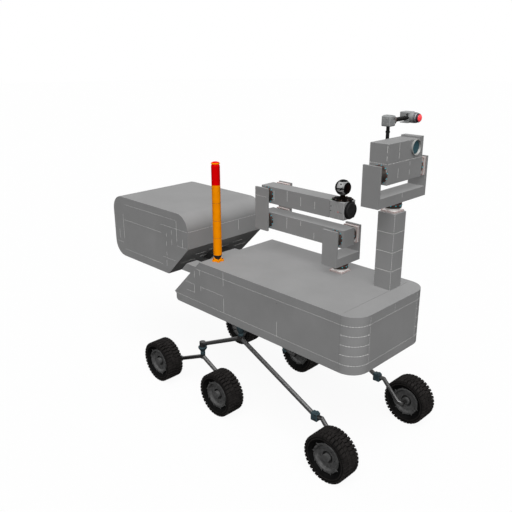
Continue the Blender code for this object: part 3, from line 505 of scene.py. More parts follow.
def screw_circle(bm, centre, radius, count, head, height, phase=0.0):
    """Circle of screw heads that stand up along Z round a centre."""
    for i in range(count):
        a = 2 * pi * (i + phase) / count
        way = Vector((cos(a), sin(a), 0))
        screw_head(bm, Vector(centre) + way * radius, (0, 0, 1), head, height)


bm = bmesh.new()
screw_circle(bm, (*beacon_at.xy, box("beacon_foot")[1][2]), 0.0255, 5, 0.0044, 0.0026, 0.5)
piece("beacon_screws", bm, "chassis", blued_screw, "black_plastic")


# Mast and arm seats. Square alloy adapter plates with red sealing edges, and the dark
# turntable flanges with rings of blue bolts that every turning joint of mast and arm shares.
machined_alloy = Finish("machined_alloy", metallic=0.25, specular=0.4)
lines = machined_alloy.noise(30.0, 3.0, (1, 14, 14))
machined_alloy.shades(lines, (0.54, 0.52, 0.51), (0.70, 0.68, 0.66))
machined_alloy.set("Roughness", lines * 0.3 + 0.28)
red_gasket = Finish("red_gasket", 0.6, specular=0.3)
red_gasket.shades(red_gasket.noise(120.0), (0.15, 0.04, 0.035), (0.26, 0.075, 0.06))
dark_flange = Finish("dark_flange", 0.45, metallic=0.3, specular=0.4)
dark_flange.shades(dark_flange.noise(70.0), (0.016, 0.012, 0.010), (0.050, 0.040, 0.033))
blue_bolt = Finish("blue_bolt", 0.35, metallic=0.2, coat=0.3)
blue_bolt.shades(blue_bolt.noise(200.0), (0.03, 0.42, 0.52), (0.05, 0.56, 0.68))

softened("mast", "chassis", grey_paint, "hull_paint", 0.0015)
for name in ("mast_adapter", "arm_adapter"):
    softened(name, "chassis", machined_alloy, "light_alloy", 0.001)

COURSES = 4
mast_low, mast_high = box("mast")
mast_mid = middle("mast")
bm = bmesh.new()
course = (mast_high[2] - deck_z) / COURSES
for k in range(1, COURSES):
    z = deck_z + course * k
    for side in (-1, 1):
        y = mast_mid.y + side * (mast_high[1] - mast_mid.y)
        bar(bm, (mast_low[0] + 0.003, y, z), (mast_high[0] - 0.003, y, z), (0, side, 0),
            SEAM_WIDTH, SEAM_PROUD)
        x = mast_mid.x + side * (mast_high[0] - mast_mid.x)
        bar(bm, (x, mast_low[1] + 0.003, z), (x, mast_high[1] - 0.003, z), (side, 0, 0),
            SEAM_WIDTH, SEAM_PROUD)
for x, out_x in ((mast_low[0], -1), (mast_high[0], 1)):
    for y, out_y in ((mast_low[1], -1), (mast_high[1], 1)):
        edge = Vector((x - out_x * 0.0006, y - out_y * 0.0006, 0))
        dashes(bm, edge + Vector((0, 0, deck_z)), edge + Vector((0, 0, mast_high[2])),
               (out_x, out_y, 0), 0.0012, 0.0003)
piece("mast_seams", bm, "chassis", pale_seal, "light_alloy")


X, Y, Z = Vector((1, 0, 0)), Vector((0, 1, 0)), Vector((0, 0, 1))
ADAPTER = 0.0075
GASKET_PROUD = 0.0003


def gasket(bm, centre, along, across, outs, half, width):
    """Square of four thin bars round a plate, each with the way that it faces."""
    corners = [Vector(centre) + along * half * a + across * half * b
               for a, b in ((-1, -1), (1, -1), (1, 1), (-1, 1))]
    for start, end, out in zip(corners, corners[1:] + corners[:1], outs):
        bar(bm, start, end, out, width, GASKET_PROUD)


bm = bmesh.new()
for name in ("mast_adapter", "arm_adapter"):
    low, high = box(name)
    centre = middle(name)
    centre.z = low[2] + ADAPTER
    half = (high[0] - low[0]) / 2
    gasket(bm, centre, X, Y, (Z,) * 4, half - 0.0015, 0.0024)
    for z in (low[2] + 0.0012, low[2] + ADAPTER - 0.0014):
        for y, out in ((low[1], -Y), (high[1], Y)):
            bar(bm, (low[0] + 0.001, y, z), (high[0] - 0.001, y, z), out, 0.0016, 0.0002)
        for x, out in ((low[0], -X), (high[0], X)):
            bar(bm, (x, low[1] + 0.001, z), (x, high[1] - 0.001, z), out, 0.0016, 0.0002)
piece("adapter_gaskets", bm, "chassis", red_gasket, "fitting_teal")

DISC_RADIUS = 0.0428
DISC_INNER = 0.0422
BOLTS = 11
BOLT_SIZE = 0.0031
BOLT_FROM = 0.0048
SEAL_FROM = 0.0092
CHEEK = 0.086
CHEEK_PLATE = 0.020


def plate(bm, centre, along, across, out, length, width, thickness, edge=0.001):
    """Flat plate with broken edges on a surface, from its middle and three directions."""
    made = bmesh.ops.create_cube(bm, size=1.0)
    verts = made["verts"]
    turn = Matrix((along, across, out)).transposed().to_4x4()
    bmesh.ops.scale(bm, vec=(length, width, thickness), verts=verts)
    edges = list({e for v in verts for e in v.link_edges})
    cut = bmesh.ops.bevel(bm, geom=edges, offset=edge, segments=1, profile=0.5,
                          affect="EDGES", clamp_overlap=True, material=-1)
    verts = list({v for f in cut["faces"] for v in f.verts} | {v for v in verts if v.is_valid})
    place = Matrix.Translation(Vector(centre) + Vector(out) * thickness / 2) @ turn
    bmesh.ops.transform(bm, matrix=place, verts=verts)


def flange_disc(bm, centre, out, length):
    """Turned dark collar round a joint's flange, with a stepped rim."""
    low = DISC_RADIUS - 0.0005
    turned(bm, [(DISC_INNER, 0), (DISC_RADIUS, 0), (DISC_RADIUS, length * 0.35), (low, length * 0.45),
                (low, length * 0.75), (DISC_RADIUS, length * 0.85), (DISC_RADIUS, length),
                (DISC_INNER, length), (DISC_INNER, 0)], 56, stood(centre, out))


def bolt_ring(bm, centre, out):
    """Ring of small blue bolts screwed into the rim of a joint's flange."""
    side = out.orthogonal().normalized()
    for i in range(BOLTS):
        way = Matrix.Rotation(2 * pi * (i + 0.5) / BOLTS, 3, out) @ side
        made = bmesh.ops.create_cone(bm, cap_ends=True, segments=6, radius1=BOLT_SIZE,
                                     radius2=BOLT_SIZE * 0.85, depth=BOLT_SIZE)
        place = stood(centre + way * (DISC_RADIUS + 0.0006), way)
        bmesh.ops.transform(bm, matrix=place, verts=made["verts"])


def seal_ring(bm, centre, out):
    """Thin red seal that stands a little proud of a joint's flange."""
    turned(bm, [(DISC_INNER, 0), (DISC_RADIUS + 0.0006, 0), (DISC_RADIUS + 0.0010, 0.0006),
                (DISC_RADIUS + 0.0006, 0.0012), (DISC_INNER, 0.0012), (DISC_INNER, 0)], 56,
           stood(centre, out))


def joint(name, body, axes, right, left, seat=None):
    """Dress joints across Y with discs, bolts and seals, and a light plate on the left.

    Right and left are the places along Y of the link's face and of the wall facing it, and
    seat is the place and height of a turntable under the same yoke.
    """
    discs, bolts, seals, plates = (bmesh.new() for _ in range(4))
    for x, z in axes:
        for side, (face, wall) in ((-1, right), (1, left)):
            out = Y * side
            at = Vector((x, face, z))
            room = abs(wall - face) - (CHEEK_PLATE if side > 0 else 0)
            flange_disc(discs, at + out * 0.0008, out, room - 0.0012)
            bolt_ring(bolts, at + out * BOLT_FROM, out)
            seal_ring(seals, at + out * SEAL_FROM, out)
        wall = left[1]
        plate(plates, (x, wall - 0.0002, z), X, Z, -Y, CHEEK + 0.0008, CHEEK + 0.0008,
              CHEEK_PLATE + 0.0006, 0.0008)
        half = CHEEK / 2 + 0.0004
        for y in (wall - 0.0016, wall - CHEEK_PLATE + 0.0014):
            gasket(seals, (x, y, z), X, Z, (-Z, X, Z, -X), half, 0.0026)
        gasket(seals, (x, wall - CHEEK_PLATE - 0.0008, z), X, Z, (-Y,) * 4, half - 0.002, 0.0026)
    if seat:
        place, height = seat
        flange_disc(discs, place + Z * 0.0008, Z, height - 0.0012)
        bolt_ring(bolts, place + Z * 0.0135, Z)
        seal_ring(seals, place + Z * 0.0180, Z)
    piece(name + "_flanges", discs, body, dark_flange, "fitting_teal")
    piece(name + "_bolts", bolts, body, blue_bolt, "fitting_teal")
    piece(name + "_seals", seals, body, red_gasket, "fitting_teal")
    piece(name + "_plates", plates, body, machined_alloy, "light_alloy")


# Head. A wide pan yoke on the mast holds the tilting beam, which carries the sensor housing,
# its lens and the lamp boom. Sheet boxes in grey paint, seamed on the same grid.
for node, body in (("head_yoke", "head_turret"), ("head_beam", "sensor_head"),
                   ("sensor_housing", "sensor_head")):
    softened(node, body, grey_paint, "hull_paint", 0.001)

yoke_low, yoke_high = box("head_yoke")
beam_low, beam_high = box("head_beam")
house_low, house_high = box("sensor_housing")
tilt_z = middle("head_beam").z
seat_top = box("mast_adapter")[1][2]
HEAD_YOKE_HEIGHT = 0.194
WALL = 0.012
yoke_base = yoke_high[2] - HEAD_YOKE_HEIGHT
joint("tilt", "head_turret", ((mast_mid.x, tilt_z),), (beam_low[1], yoke_low[1] + WALL),
      (beam_high[1], yoke_high[1] - WALL),
      (Vector((mast_mid.x, mast_mid.y, seat_top)), yoke_base - seat_top))

bm = bmesh.new()
front_x = beam_high[0]
seam_z = house_low[2] + 0.0012
dashes(bm, (front_x, beam_low[1] + 0.002, seam_z), (front_x, house_high[1] - 0.004, seam_z), X)
dashes(bm, (beam_low[0] + 0.002, beam_low[1], seam_z), (front_x - 0.002, beam_low[1], seam_z), -Y)
# Upright runs on the front of housing and beam as (y, top, low)
for y, top, low in ((0.015, 1.545, 1.512), (0.015, 1.498, 1.476), (0.112, 1.545, 1.509),
                    (0.112, 1.503, 1.474), (0.015, 1.436, 1.392), (0.112, 1.430, 1.384),
                    (0.208, 1.448, 1.430), (0.208, 1.410, 1.384)):
    bar(bm, (front_x, y, top), (front_x, y, low), X, SEAM_WIDTH, SEAM_PROUD)
piece("head_seams", bm, "sensor_head", pale_seal, "light_alloy")
bm = bmesh.new()
front = Vector((yoke_high[0], mast_mid.y, yoke_base))
bar(bm, front + Z * 0.045, front + Z * 0.024, X, SEAM_WIDTH, SEAM_PROUD)
piece("yoke_seam", bm, "head_turret", pale_seal, "light_alloy")

bm = bmesh.new()
for rise in (0.018, 0.046):
    mark = Vector((front_x, 0.262 + rise * 0.2, beam_low[2] + rise))
    bar(bm, mark, mark + Y * 0.002, X, 0.0024, 0.0002)
groove_y, groove_z = 0.274, house_high[2] - 0.0079
bar(bm, (house_low[0] + 0.002, groove_y, groove_z), (house_high[0] - 0.002, groove_y, groove_z), Z,
    0.003, 0.0004)
piece("housing_groove", bm, "sensor_head", dark_groove_and_shade, "black_plastic")

lens_low, lens_high = box("lens")
lens_y, lens_z = middle("lens").yz
lens_r = (lens_high[2] - lens_low[2]) / 2
lens_ring = Finish("lens_ring", metallic=0.2, specular=0.2)
lens_ring.set("Base Color", (0.30, 0.30, 0.29, 1))
lens_ring.set("Roughness", lens_ring.noise(200.0, 2.0) * 0.2 + 0.4)
# Lens glass: teal, with painted shade, darker at the top of the lens and lighter towards the bottom
glass_with_painted_shade = Finish("glass_with_painted_shade", 0.45, specular=0.08)
height = glass_with_painted_shade.node("SeparateXYZ", output="Z", Vector=glass_with_painted_shade.place)
glass_with_painted_shade.shades((lens_z - height) * (0.5 / lens_r) + 0.5,
                    (0.012, 0.040, 0.050), (0.060, 0.135, 0.160), 0.1, 1.0)
toward_front = quarter_turn((lens_low[0], lens_y, lens_z), "Y")
depth = lens_high[0] - lens_low[0]
bm = bmesh.new()
turned(bm, [(lens_r * 0.80, 0), (lens_r * 0.97, 0), (lens_r, 0.001), (lens_r, depth * 0.5),
            (lens_r * 0.985, depth * 0.55), (lens_r * 0.985, depth * 0.7), (lens_r, depth * 0.75),
            (lens_r, depth - 0.001), (lens_r - 0.001, depth), (lens_r - 0.0032, depth),
            (lens_r - 0.0042, depth - 0.001), (lens_r * 0.84, depth * 0.45), (lens_r * 0.80, 0)],
       64, toward_front)
piece("lens_ring", bm, "sensor_head", lens_ring, "light_alloy", "lens")
bm = bmesh.new()
dome = [(lens_r * 0.845 * sin(radians(a)), depth * 0.40 + 0.004 * cos(radians(a)) - 0.004)
        for a in range(90, -1, -10)]
turned(bm, [(0, 0.0004), (lens_r * 0.80, 0.0004)] + dome, 56, toward_front)
piece("lens_glass", bm, "sensor_head", glass_with_painted_shade, "lens_glass")


# Lamp boom. A black rod bolted to the housing's rear carries a cast cross clamp, a ringed
# arm and a small lamp with a red lens.
blasted_alloy = Finish("blasted_alloy", 0.5, metallic=0.25, specular=0.4)
grain = blasted_alloy.noise(240.0, 4.0)
blasted_alloy.shades(blasted_alloy.noise(25.0) * 0.6 + grain * 0.4,
                     (0.21, 0.215, 0.215), (0.32, 0.33, 0.33))
blasted_alloy.bump(grain, 0.2, 0.0004)
gloss_black = Finish("gloss_black", specular=0.10)
gloss_black.shades(gloss_black.noise(90.0), (0.005,) * 3, (0.013,) * 3)
gloss_black.set("Roughness", gloss_black.noise(260.0) * 0.2 + 0.25)

softened("boom_rod", "sensor_head", gloss_black, "gloss_black", 0.0008)
softened("boom_clamp", "sensor_head", blasted_alloy, "grey_alloy", 0.0012)
softened("boom_arm", "sensor_head", gloss_black, "gloss_black", 0.0006)
clamp_low, clamp_high = box("boom_clamp")
clamp_mid = middle("boom_clamp")
rod_z = box("boom_rod")[0][2]
arm_start = box("boom_arm")[0][1]
lamp_low, lamp_high = box("lamp")
lamp_y = middle("lamp").y
lamp_z = clamp_mid.z
lamp_half = (lamp_high[1] - lamp_low[1]) / 2
can_x = lamp_low[0] + 0.053
can_turn = quarter_turn((can_x, lamp_y, lamp_z), "Y")
can_length = lamp_high[0] - can_x
bm = bmesh.new()
case_at = Vector((lamp_low[0] + 0.0230, lamp_y, lamp_low[2]))
plate(bm, case_at + Vector((0.0035, 0, 0.010)), X, Y, Z, 0.0530, 2 * lamp_half,
      2 * lamp_half - 0.010, 0.0030)
plate(bm, case_at, X, Y, Z, 0.0440, 2 * lamp_half - 0.006, 0.0040, 0.0008)
plate(bm, case_at + Vector((0, 0.012, 0.002)), X, Y, Z, 0.030, 0.010, 0.010, 0.0005)
turned(bm, [(0, -0.004), (lamp_half - 0.0006, -0.004), (lamp_half - 0.0002, 0.002),
            (lamp_half - 0.0004, 0.014), (lamp_half - 0.0022, 0.024), (0.0218, can_length - 0.008),
            (0, can_length - 0.008)], 48, can_turn)
piece("lamp_case", bm, "sensor_head", blasted_alloy, "grey_alloy", "lamp")

bm = bmesh.new()
for z, r in ((rod_z + 0.056, 0.0115), (rod_z + 0.102, 0.0105)):
    turned(bm, [(0.0084, z - 0.004), (r, z - 0.004), (r, z + 0.003), (r - 0.001, z + 0.004),
                (0.0084, z + 0.004), (0.0084, z - 0.004)], 32,
           Matrix.Translation((clamp_mid.x, clamp_mid.y, 0)))
for i in range(6):
    y = arm_start + 0.026 + i * 0.0165
    turned(bm, [(0.0083, 0), (0.0105, 0.001), (0.0105, 0.005), (0.0083, 0.006), (0.0083, 0)], 28,
           quarter_turn((clamp_mid.x, y, clamp_mid.z), "X", -1))
piece("boom_rings", bm, "sensor_head", gloss_black, "gloss_black")

bm = bmesh.new()
plate(bm, (clamp_mid.x - 0.004, clamp_mid.y, clamp_high[2] - 0.0002), X, Y, Z, 0.034, 0.030,
      0.0020, 0.0008)
piece("clamp_cap", bm, "sensor_head", blasted_alloy, "grey_alloy")
bm = bmesh.new()
for x, z, r in ((-0.012, 0.010, 0.003), (0.006, 0.012, 0.0034), (-0.010, -0.010, 0.003),
                (0.012, -0.012, 0.003)):
    screw_head(bm, (clamp_mid.x + x, clamp_low[1], clamp_mid.z + z), -Y, r, 0.0016)
for y, z in ((-0.014, 0.013), (0.013, -0.013), (-0.014, -0.013)):
    screw_head(bm, (clamp_high[0], clamp_mid.y + y, clamp_mid.z + z), X, 0.003, 0.0016)
piece("clamp_screws", bm, "sensor_head", lens_ring, "light_alloy")


def eyelet(bm, radius, lip, throat, place, steps=24):
    """Raised rim of a drilled hole, flat on a surface."""
    turned(bm, [(0, 0), (radius, 0), (radius, 0.0004), (radius - lip, 0.0008),
                (radius - throat, 0.0002), (0, 0.0002)], steps, place)


# Two dark discs in raised rims stand for holes in the clamp and the lamp case: painted shade where
# the holes would be
bm = bmesh.new()
eyelet(bm, 0.0052, 0.0008, 0.0012, quarter_turn(
    (clamp_high[0] - 0.0002, clamp_mid.y + 0.010, clamp_mid.z + 0.010), "Y"))
eyelet(bm, 0.0062, 0.0010, 0.0016, quarter_turn(
    (lamp_low[0] + 0.043, lamp_low[1] + 0.0002, clamp_mid.z + 0.014), "X"))
piece("boom_holes", bm, "sensor_head", dark_groove_and_shade, "black_plastic")

bronze_collar = Finish("bronze_collar", 0.4, metallic=0.5)
bronze_collar.shades(bronze_collar.noise(150.0), (0.05, 0.032, 0.028), (0.11, 0.075, 0.065))
bm = bmesh.new()
turned(bm, [(0.0210, 0.0010), (0.0222, 0.0020), (0.0222, 0.0070), (0.0213, 0.0080),
            (0.0222, 0.0090), (0.0222, 0.0110), (0.0210, 0.0115), (0.0208, 0.0060), (0.0210, 0.0010)],
       40, quarter_turn((clamp_mid.x, arm_start, clamp_mid.z), "X", -1))
piece("boom_collar", bm, "sensor_head", bronze_collar, "fitting_teal")

ruby_low, ruby_high = box("lamp_lens")
ruby_lens = Finish("ruby_lens", 0.25, coat=0.4, specular=0.3)
facet = ruby_lens.node("TexVoronoi", {"feature": "F1"}, Vector=ruby_lens.place, Scale=260.0)
ruby_lens.shades(facet, (0.80, 0.03, 0.04), (1.0, 0.09, 0.10), 0.0, 0.8)
ruby_lens.set("Emission Color", (1.0, 0.03, 0.04, 1))
ruby_lens.set("Emission Strength", 0.30)
bm = bmesh.new()
lamp_r = (ruby_high[2] - ruby_low[2]) / 2
ruby_thick = ruby_high[0] - ruby_low[0]
dome = [(lamp_r * sin(radians(a)), ruby_thick * (0.35 + 0.65 * cos(radians(a))))
        for a in range(90, -1, -10)]
turned(bm, [(0, 0), (lamp_r, 0)] + dome, 40, quarter_turn((ruby_low[0], lamp_y, lamp_z), "Y"))
piece("lamp_glass", bm, "sensor_head", ruby_lens, "lamp_red", "lamp_lens")
bm = bmesh.new()
for at, r in ((0.020, 0.0254), (0.025, 0.0246)):
    turned(bm, [(r - 0.004, at), (r, at), (r + 0.0003, at + 0.0012), (r, at + 0.0022),
                (r - 0.004, at + 0.0022), (r - 0.004, at)], 40, can_turn)
turned(bm, [(lamp_r + 0.0003, can_length - 0.009), (0.0222, can_length - 0.009),
            (0.0212, can_length - 0.003), (0.0192, can_length), (lamp_r + 0.0003, can_length),
            (lamp_r + 0.0003, can_length - 0.009)], 40, can_turn)
violet_black = Finish("violet_black", 0.45, specular=0.3)
violet_black.shades(violet_black.noise(160.0), (0.014, 0.008, 0.012), (0.036, 0.020, 0.034))
piece("lamp_rings", bm, "sensor_head", violet_black, "grey_alloy")


# Arm. A folded arm of square tube: turning yoke on the deck, lower link, double elbow and
# upper link, all in grey paint, with the same dark flanges and blue bolts at each joint.
for node, body in (("arm_yoke", "arm_turret"), ("lower_link", "lower_arm"),
                   ("elbow_plate_right", "elbow"), ("elbow_plate_left", "elbow"),
                   ("upper_link", "upper_arm")):
    softened(node, body, grey_paint, "hull_paint", 0.001)

ARM_YOKE_HEIGHT = 0.192
LINK_HALF = 0.0475
arm_seat = box("arm_adapter")[1][2]
arm_yoke_low, arm_yoke_high = box("arm_yoke")
arm_x = middle("arm_yoke").x
arm_y = mast_mid.y
link_low, link_high = box("lower_link")
shoulder_z = middle("lower_link").z
elbow_x = link_low[0] + (link_high[2] - link_low[2]) / 2
elbow_top_z = middle("upper_link").z
right = (link_low[1], arm_yoke_low[1] + WALL)
left = (link_high[1], arm_yoke_high[1] - WALL)
base_z = arm_yoke_high[2] - ARM_YOKE_HEIGHT
joint("shoulder", "arm_turret", ((arm_x, shoulder_z),), right, left,
      (Vector((arm_x, arm_y, arm_seat)), base_z - arm_seat))
joint("elbow", "elbow", ((elbow_x, shoulder_z), (elbow_x, elbow_top_z)), right, left)

# Upright runs on the links' sides as (x, top, low), with heights from the link's middle
LINK_SEAMS = (
    ("lower_link", "lower_arm", shoulder_z,
     ((0.147, 0.042, -0.021), (0.248, 0.041, 0.015), (0.342, -0.004, -0.037))),
    ("upper_link", "upper_arm", elbow_top_z,
     ((0.049, 0.029, -0.030), (0.147, 0.042, -0.015), (0.245, 0.026, -0.022),
      (0.342, 0.019, -0.022))))
for name, body, z, runs in LINK_SEAMS:
    bm = bmesh.new()
    for x, top, low in runs:
        for side in (-1, 1):
            y = arm_y + side * LINK_HALF
            bar(bm, (x, y, z + top), (x, y, z + low), (0, side, 0), SEAM_WIDTH, SEAM_PROUD)
    piece(name + "_seams", bm, body, pale_seal, "light_alloy")
bm = bmesh.new()
for side, y in ((-1, arm_yoke_low[1]), (1, arm_yoke_high[1])):
    dashes(bm, (-0.042, y, elbow_top_z), (0.042, y, elbow_top_z), (0, side, 0))
piece("elbow_seams", bm, "elbow", pale_seal, "light_alloy")


# Wrist and ball camera. A machined housing with sensor ports ends the arm, with a black
# tool flange in front and a ball camera clamped on a bolted foot on top.
wrist_alloy = Finish("wrist_alloy", 0.45, metallic=0.15, specular=0.35)
wrist_alloy.shades(wrist_alloy.noise(40.0, 3.0, (8, 1, 1)), (0.255,) * 3, (0.34,) * 3)
wrist_alloy.bump(wrist_alloy.noise(500.0), 0.08, 0.0003)
softened("wrist_housing", "upper_arm", wrist_alloy, "housing_grey", 0.0008)
wrist_low, wrist_high = box("wrist_housing")
wrist_x, _, wrist_z = middle("wrist_housing")

ports = bmesh.new()
lights = bmesh.new()
rims = bmesh.new()
for side in (-1, 1):
    face = Vector((wrist_x, wrist_low[1] if side < 0 else wrist_high[1], wrist_z))
    for z in (0.016, -0.008):
        turned(ports, [(0, -0.0002), (0.0032, -0.0002), (0.0032, 0.0003), (0, 0.0004)], 20,
               quarter_turn(face + Vector((-0.036, 0, z)), "X", -side))
    light = quarter_turn(face + Vector((0.010, 0, -0.008)), "X", -side)
    turned(lights, [(0, 0.0001), (0.0026, 0.0001), (0.0024, 0.0010), (0, 0.0014)], 20, light)
    turned(rims, [(0.0026, 0), (0.0042, 0), (0.0042, 0.0006), (0.0034, 0.0010), (0.0026, 0)], 24,
           light)
    for x in (0.019, 0.027):
        bar(ports, face + Vector((x, 0, -0.009)), face + Vector((x + 0.006, 0, -0.010)), Y * side,
            0.0030, 0.0003)
    edge = wrist_low[0] + 0.004
    dashes(ports, (edge, face.y, wrist_high[2] - 0.008), (edge, face.y, wrist_low[2] + 0.006),
           Y * side, 0.0014)
piece("wrist_ports", ports, "upper_arm", dark_groove_and_shade, "black_plastic")
piece("wrist_port_rims", rims, "upper_arm", lens_ring, "light_alloy")
piece("wrist_lights", lights, "upper_arm", red_stage, "lamp_red")
green_lens = Finish("green_lens", 0.3, coat=0.3)
green_lens.shades(green_lens.noise(300.0), (0.003, 0.080, 0.006), (0.010, 0.150, 0.015))
bm = bmesh.new()
turned(bm, [(0, 0), (0.0048, 0), (0.0046, 0.0020), (0.0034, 0.0034), (0, 0.0040)], 24,
       Matrix.Translation((wrist_low[0] + 0.008, wrist_low[1] + 0.006, wrist_high[2])))
piece("status_light", bm, "upper_arm", green_lens, "lens_glass")

flange_low, flange_high = box("wrist_flange")
flange_r = (flange_high[2] - flange_low[2]) / 2
face_turn = quarter_turn((flange_low[0], middle("wrist_flange").y, wrist_z), "Y")
pad_top = flange_high[0] - flange_low[0]
bm = bmesh.new()
turned(bm, [(0, 0), (flange_r, 0), (flange_r, 0.0052), (flange_r - 0.0010, 0.0064),
            (flange_r - 0.0050, 0.0068), (0, 0.0068)], 64, face_turn)
piece("tool_face", bm, "tool_flange", gloss_black, "gloss_black", "wrist_flange")
charcoal_pad = Finish("charcoal_pad", 0.6, specular=0.10)
charcoal_pad.shades(charcoal_pad.noise(14.0, 2.0), (0.008,) * 3, (0.024,) * 3)
charcoal_pad.bump(charcoal_pad.noise(600.0), 0.15, 0.0003)
pad_r = flange_r - 0.0060
bm = bmesh.new()
turned(bm, [(0, 0.0060), (pad_r, 0.0060), (pad_r, pad_top - 0.0034),
            (pad_r - 0.0012, pad_top - 0.0010), (pad_r - 0.0036, pad_top), (0, pad_top)], 64,
       face_turn)
piece("tool_pad", bm, "tool_flange", charcoal_pad, "gloss_black")

foot_low, foot_high = box("eye_foot")
foot_r = (foot_high[1] - foot_low[1]) / 2
eye_at = middle("eye_foot")
eye_at.z = 0
LOBES = 9
bm = bmesh.new()
profile = [(0, 0), (foot_r, 0), (foot_r, 0.0035), (foot_r * 0.96, 0.0050), (foot_r * 0.72, 0.0062),
           (foot_r * 0.60, 0.0085), (foot_r * 0.42, 0.0125), (0.0165, 0.0155), (0.0130, 0.0175),
           (0.0130, foot_high[2] - foot_low[2]), (0, foot_high[2] - foot_low[2])]
turned(bm, profile, 90)
for v in bm.verts:
    flat = v.co.xy
    if flat.length > foot_r * 0.55:
        dent = 0.5 - 0.5 * cos(LOBES * Vector((1, 0)).angle_signed(flat))
        v.co -= flat.normalized().to_3d() * foot_r * 0.075 * dent
bmesh.ops.translate(bm, vec=eye_at + Z * foot_low[2], verts=bm.verts)
speckled_black = Finish("speckled_black", 0.6, specular=0.02)
fleck = speckled_black.noise(150.0, 4.0)
speckled_black.set("Base Color", speckled_black.node("ValToRGB", {"stops": (
    (0.58, (0.001, 0.001, 0.001)), (0.66, (0.016, 0.008, 0.004)), (0.76, (0.20, 0.13, 0.05)))},
    Fac=fleck))
speckled_black.bump(fleck, 0.3, 0.0006)
piece("camera_foot", bm, "upper_arm", speckled_black, "gloss_black", "eye_foot")
bm = bmesh.new()
screw_circle(bm, (*eye_at.xy, foot_low[2] + 0.0050), foot_r * 0.82, LOBES, 0.0038, 0.0036, 0.5)
piece("foot_screws", bm, "upper_arm", bronze_collar, "gloss_black")

eye_low, eye_high = box("eye")
eye_r = (eye_high[1] - eye_low[1]) / 2
eye_mid = Vector((*eye_at.xy, eye_high[2] - eye_r))
window = eye_high[0] - eye_at.x
silver_shell = Finish("silver_shell", specular=0.12)
cloud = silver_shell.noise(48.0, 3.0)
silver_shell.shades(cloud, (0.17,) * 3, (0.33,) * 3, 0.36, 0.50)
silver_shell.set("Roughness", cloud * 0.2 + 0.4)
look = quarter_turn(eye_mid, "Y")
ball = bmesh.new()
bands = bmesh.new()


def ball_ring(bm, start, end, radius):
    """Slice of a ball between two heights along its axis, as shares of the radius."""
    steps = 10
    levels = [start + (end - start) * i / steps for i in range(steps + 1)]
    rim = [(radius * (1 - k * k) ** 0.5, eye_r * k) for k in levels]
    inner = [(max(r - 0.002, 0.0), h) for r, h in (rim[-1], rim[0])]
    turned(bm, rim + inner + rim[:1], 64, look)


window_share = window / eye_r
ball_ring(ball, -0.24, 0.66, eye_r - 0.0004)
ball_ring(bands, -0.995, -0.24, eye_r - 0.0003)
ball_ring(bands, 0.66, window_share, eye_r - 0.0003)
core_r = eye_r - 0.0022
core = [(core_r * sin(radians(a)), core_r * cos(radians(a))) for a in range(50, 181, 10)]
turned(bands, [(0, window - 0.0060), (core[0][0], window - 0.0060)] + core, 48, look)
cap_r = eye_r - 0.0001
cap = [(cap_r * sin(radians(a)), cap_r * cos(radians(a))) for a in range(0, 39, 4)]
turned(bands, cap + [(cap[-1][0] - 0.0015, cap[-1][1] - 0.0008), (0, cap[0][1] - 0.003)], 48,
       Matrix.Translation(eye_mid))
piece("camera_shell", ball, "upper_arm", silver_shell, "silver_shell", "eye")
rim_r = eye_r * (1 - window_share ** 2) ** 0.5
turned(bands, [(rim_r - 0.0005, window - 0.0035), (rim_r - 0.0005, window - 0.0002),
               (rim_r - 0.0025, window - 0.0002), (rim_r - 0.0036, window - 0.0022),
               (0, window - 0.0030)], 48, look)

# Dark panels of the shell as (start, end, width), by directions out of the ball's middle.
# The last row is no panel but painted shade, a wide dark band low on the ball.
PANELS = (((-0.23, 0.97, -0.03), (0.22, 0.96, 0.04), 0.0098),
          ((0.22, 0.96, 0.04), (0.56, 0.82, 0.12), 0.0085),
          ((0.26, 0.96, -0.05), (0.66, 0.75, 0.01), 0.0085),
          ((0.25, 0.95, -0.19), (0.26, 0.96, -0.05), 0.0075),
          ((0.17, 0.80, 0.57), (0.34, 0.75, 0.57), 0.0110),
          ((0.24, 0.58, 0.78), (0.15, 0.45, 0.88), 0.0085),
          # Painted shade: a wide dark band low on each side of the ball
          ((-0.20, 0.88, -0.44), (0.50, 0.72, -0.48), 0.0150))
panel_r = eye_r - 0.0010
for side in (-1, 1):
    for start, end, wide in PANELS:
        start, end = (Vector((x, side * y, z)).normalized() for x, y, z in (start, end))
        ways = [start.slerp(end, i / 4) for i in range(5)]
        for one, two in zip(ways, ways[1:]):
            bar(bands, eye_mid + one * panel_r, eye_mid + two * panel_r, one + two, wide, 0.0014,
                0.0030)
camera_black = Finish("camera_black", 0.5, specular=0.03)
camera_black.shades(camera_black.noise(120.0), (0.001,) * 3, (0.006,) * 3)
piece("camera_bands", bands, "upper_arm", camera_black, "gloss_black")
# Camera lens: near black, with a painted sheen that grows lighter and browner towards the +Y side
lens_front_painted_sheen = Finish("lens_front_painted_sheen", 0.3, specular=0.03)
side_way = lens_front_painted_sheen.node("SeparateXYZ", output="Y", Vector=lens_front_painted_sheen.place)
lens_front_painted_sheen.shades((side_way - eye_at.y) * (0.5 / rim_r) + 0.5,
                  (0.0005, 0.0004, 0.0004), (0.012, 0.003, 0.002), 0.2, 1.0)
bm = bmesh.new()
dome = [((rim_r - 0.0034) * sin(radians(a)), window - 0.0050 + 0.0042 * cos(radians(a)))
        for a in range(90, -1, -10)]
turned(bm, [(0, window - 0.0060), (rim_r - 0.0034, window - 0.0060)] + dome, 48, look)
piece("camera_lens", bm, "upper_arm", lens_front_painted_sheen, "lens_glass")


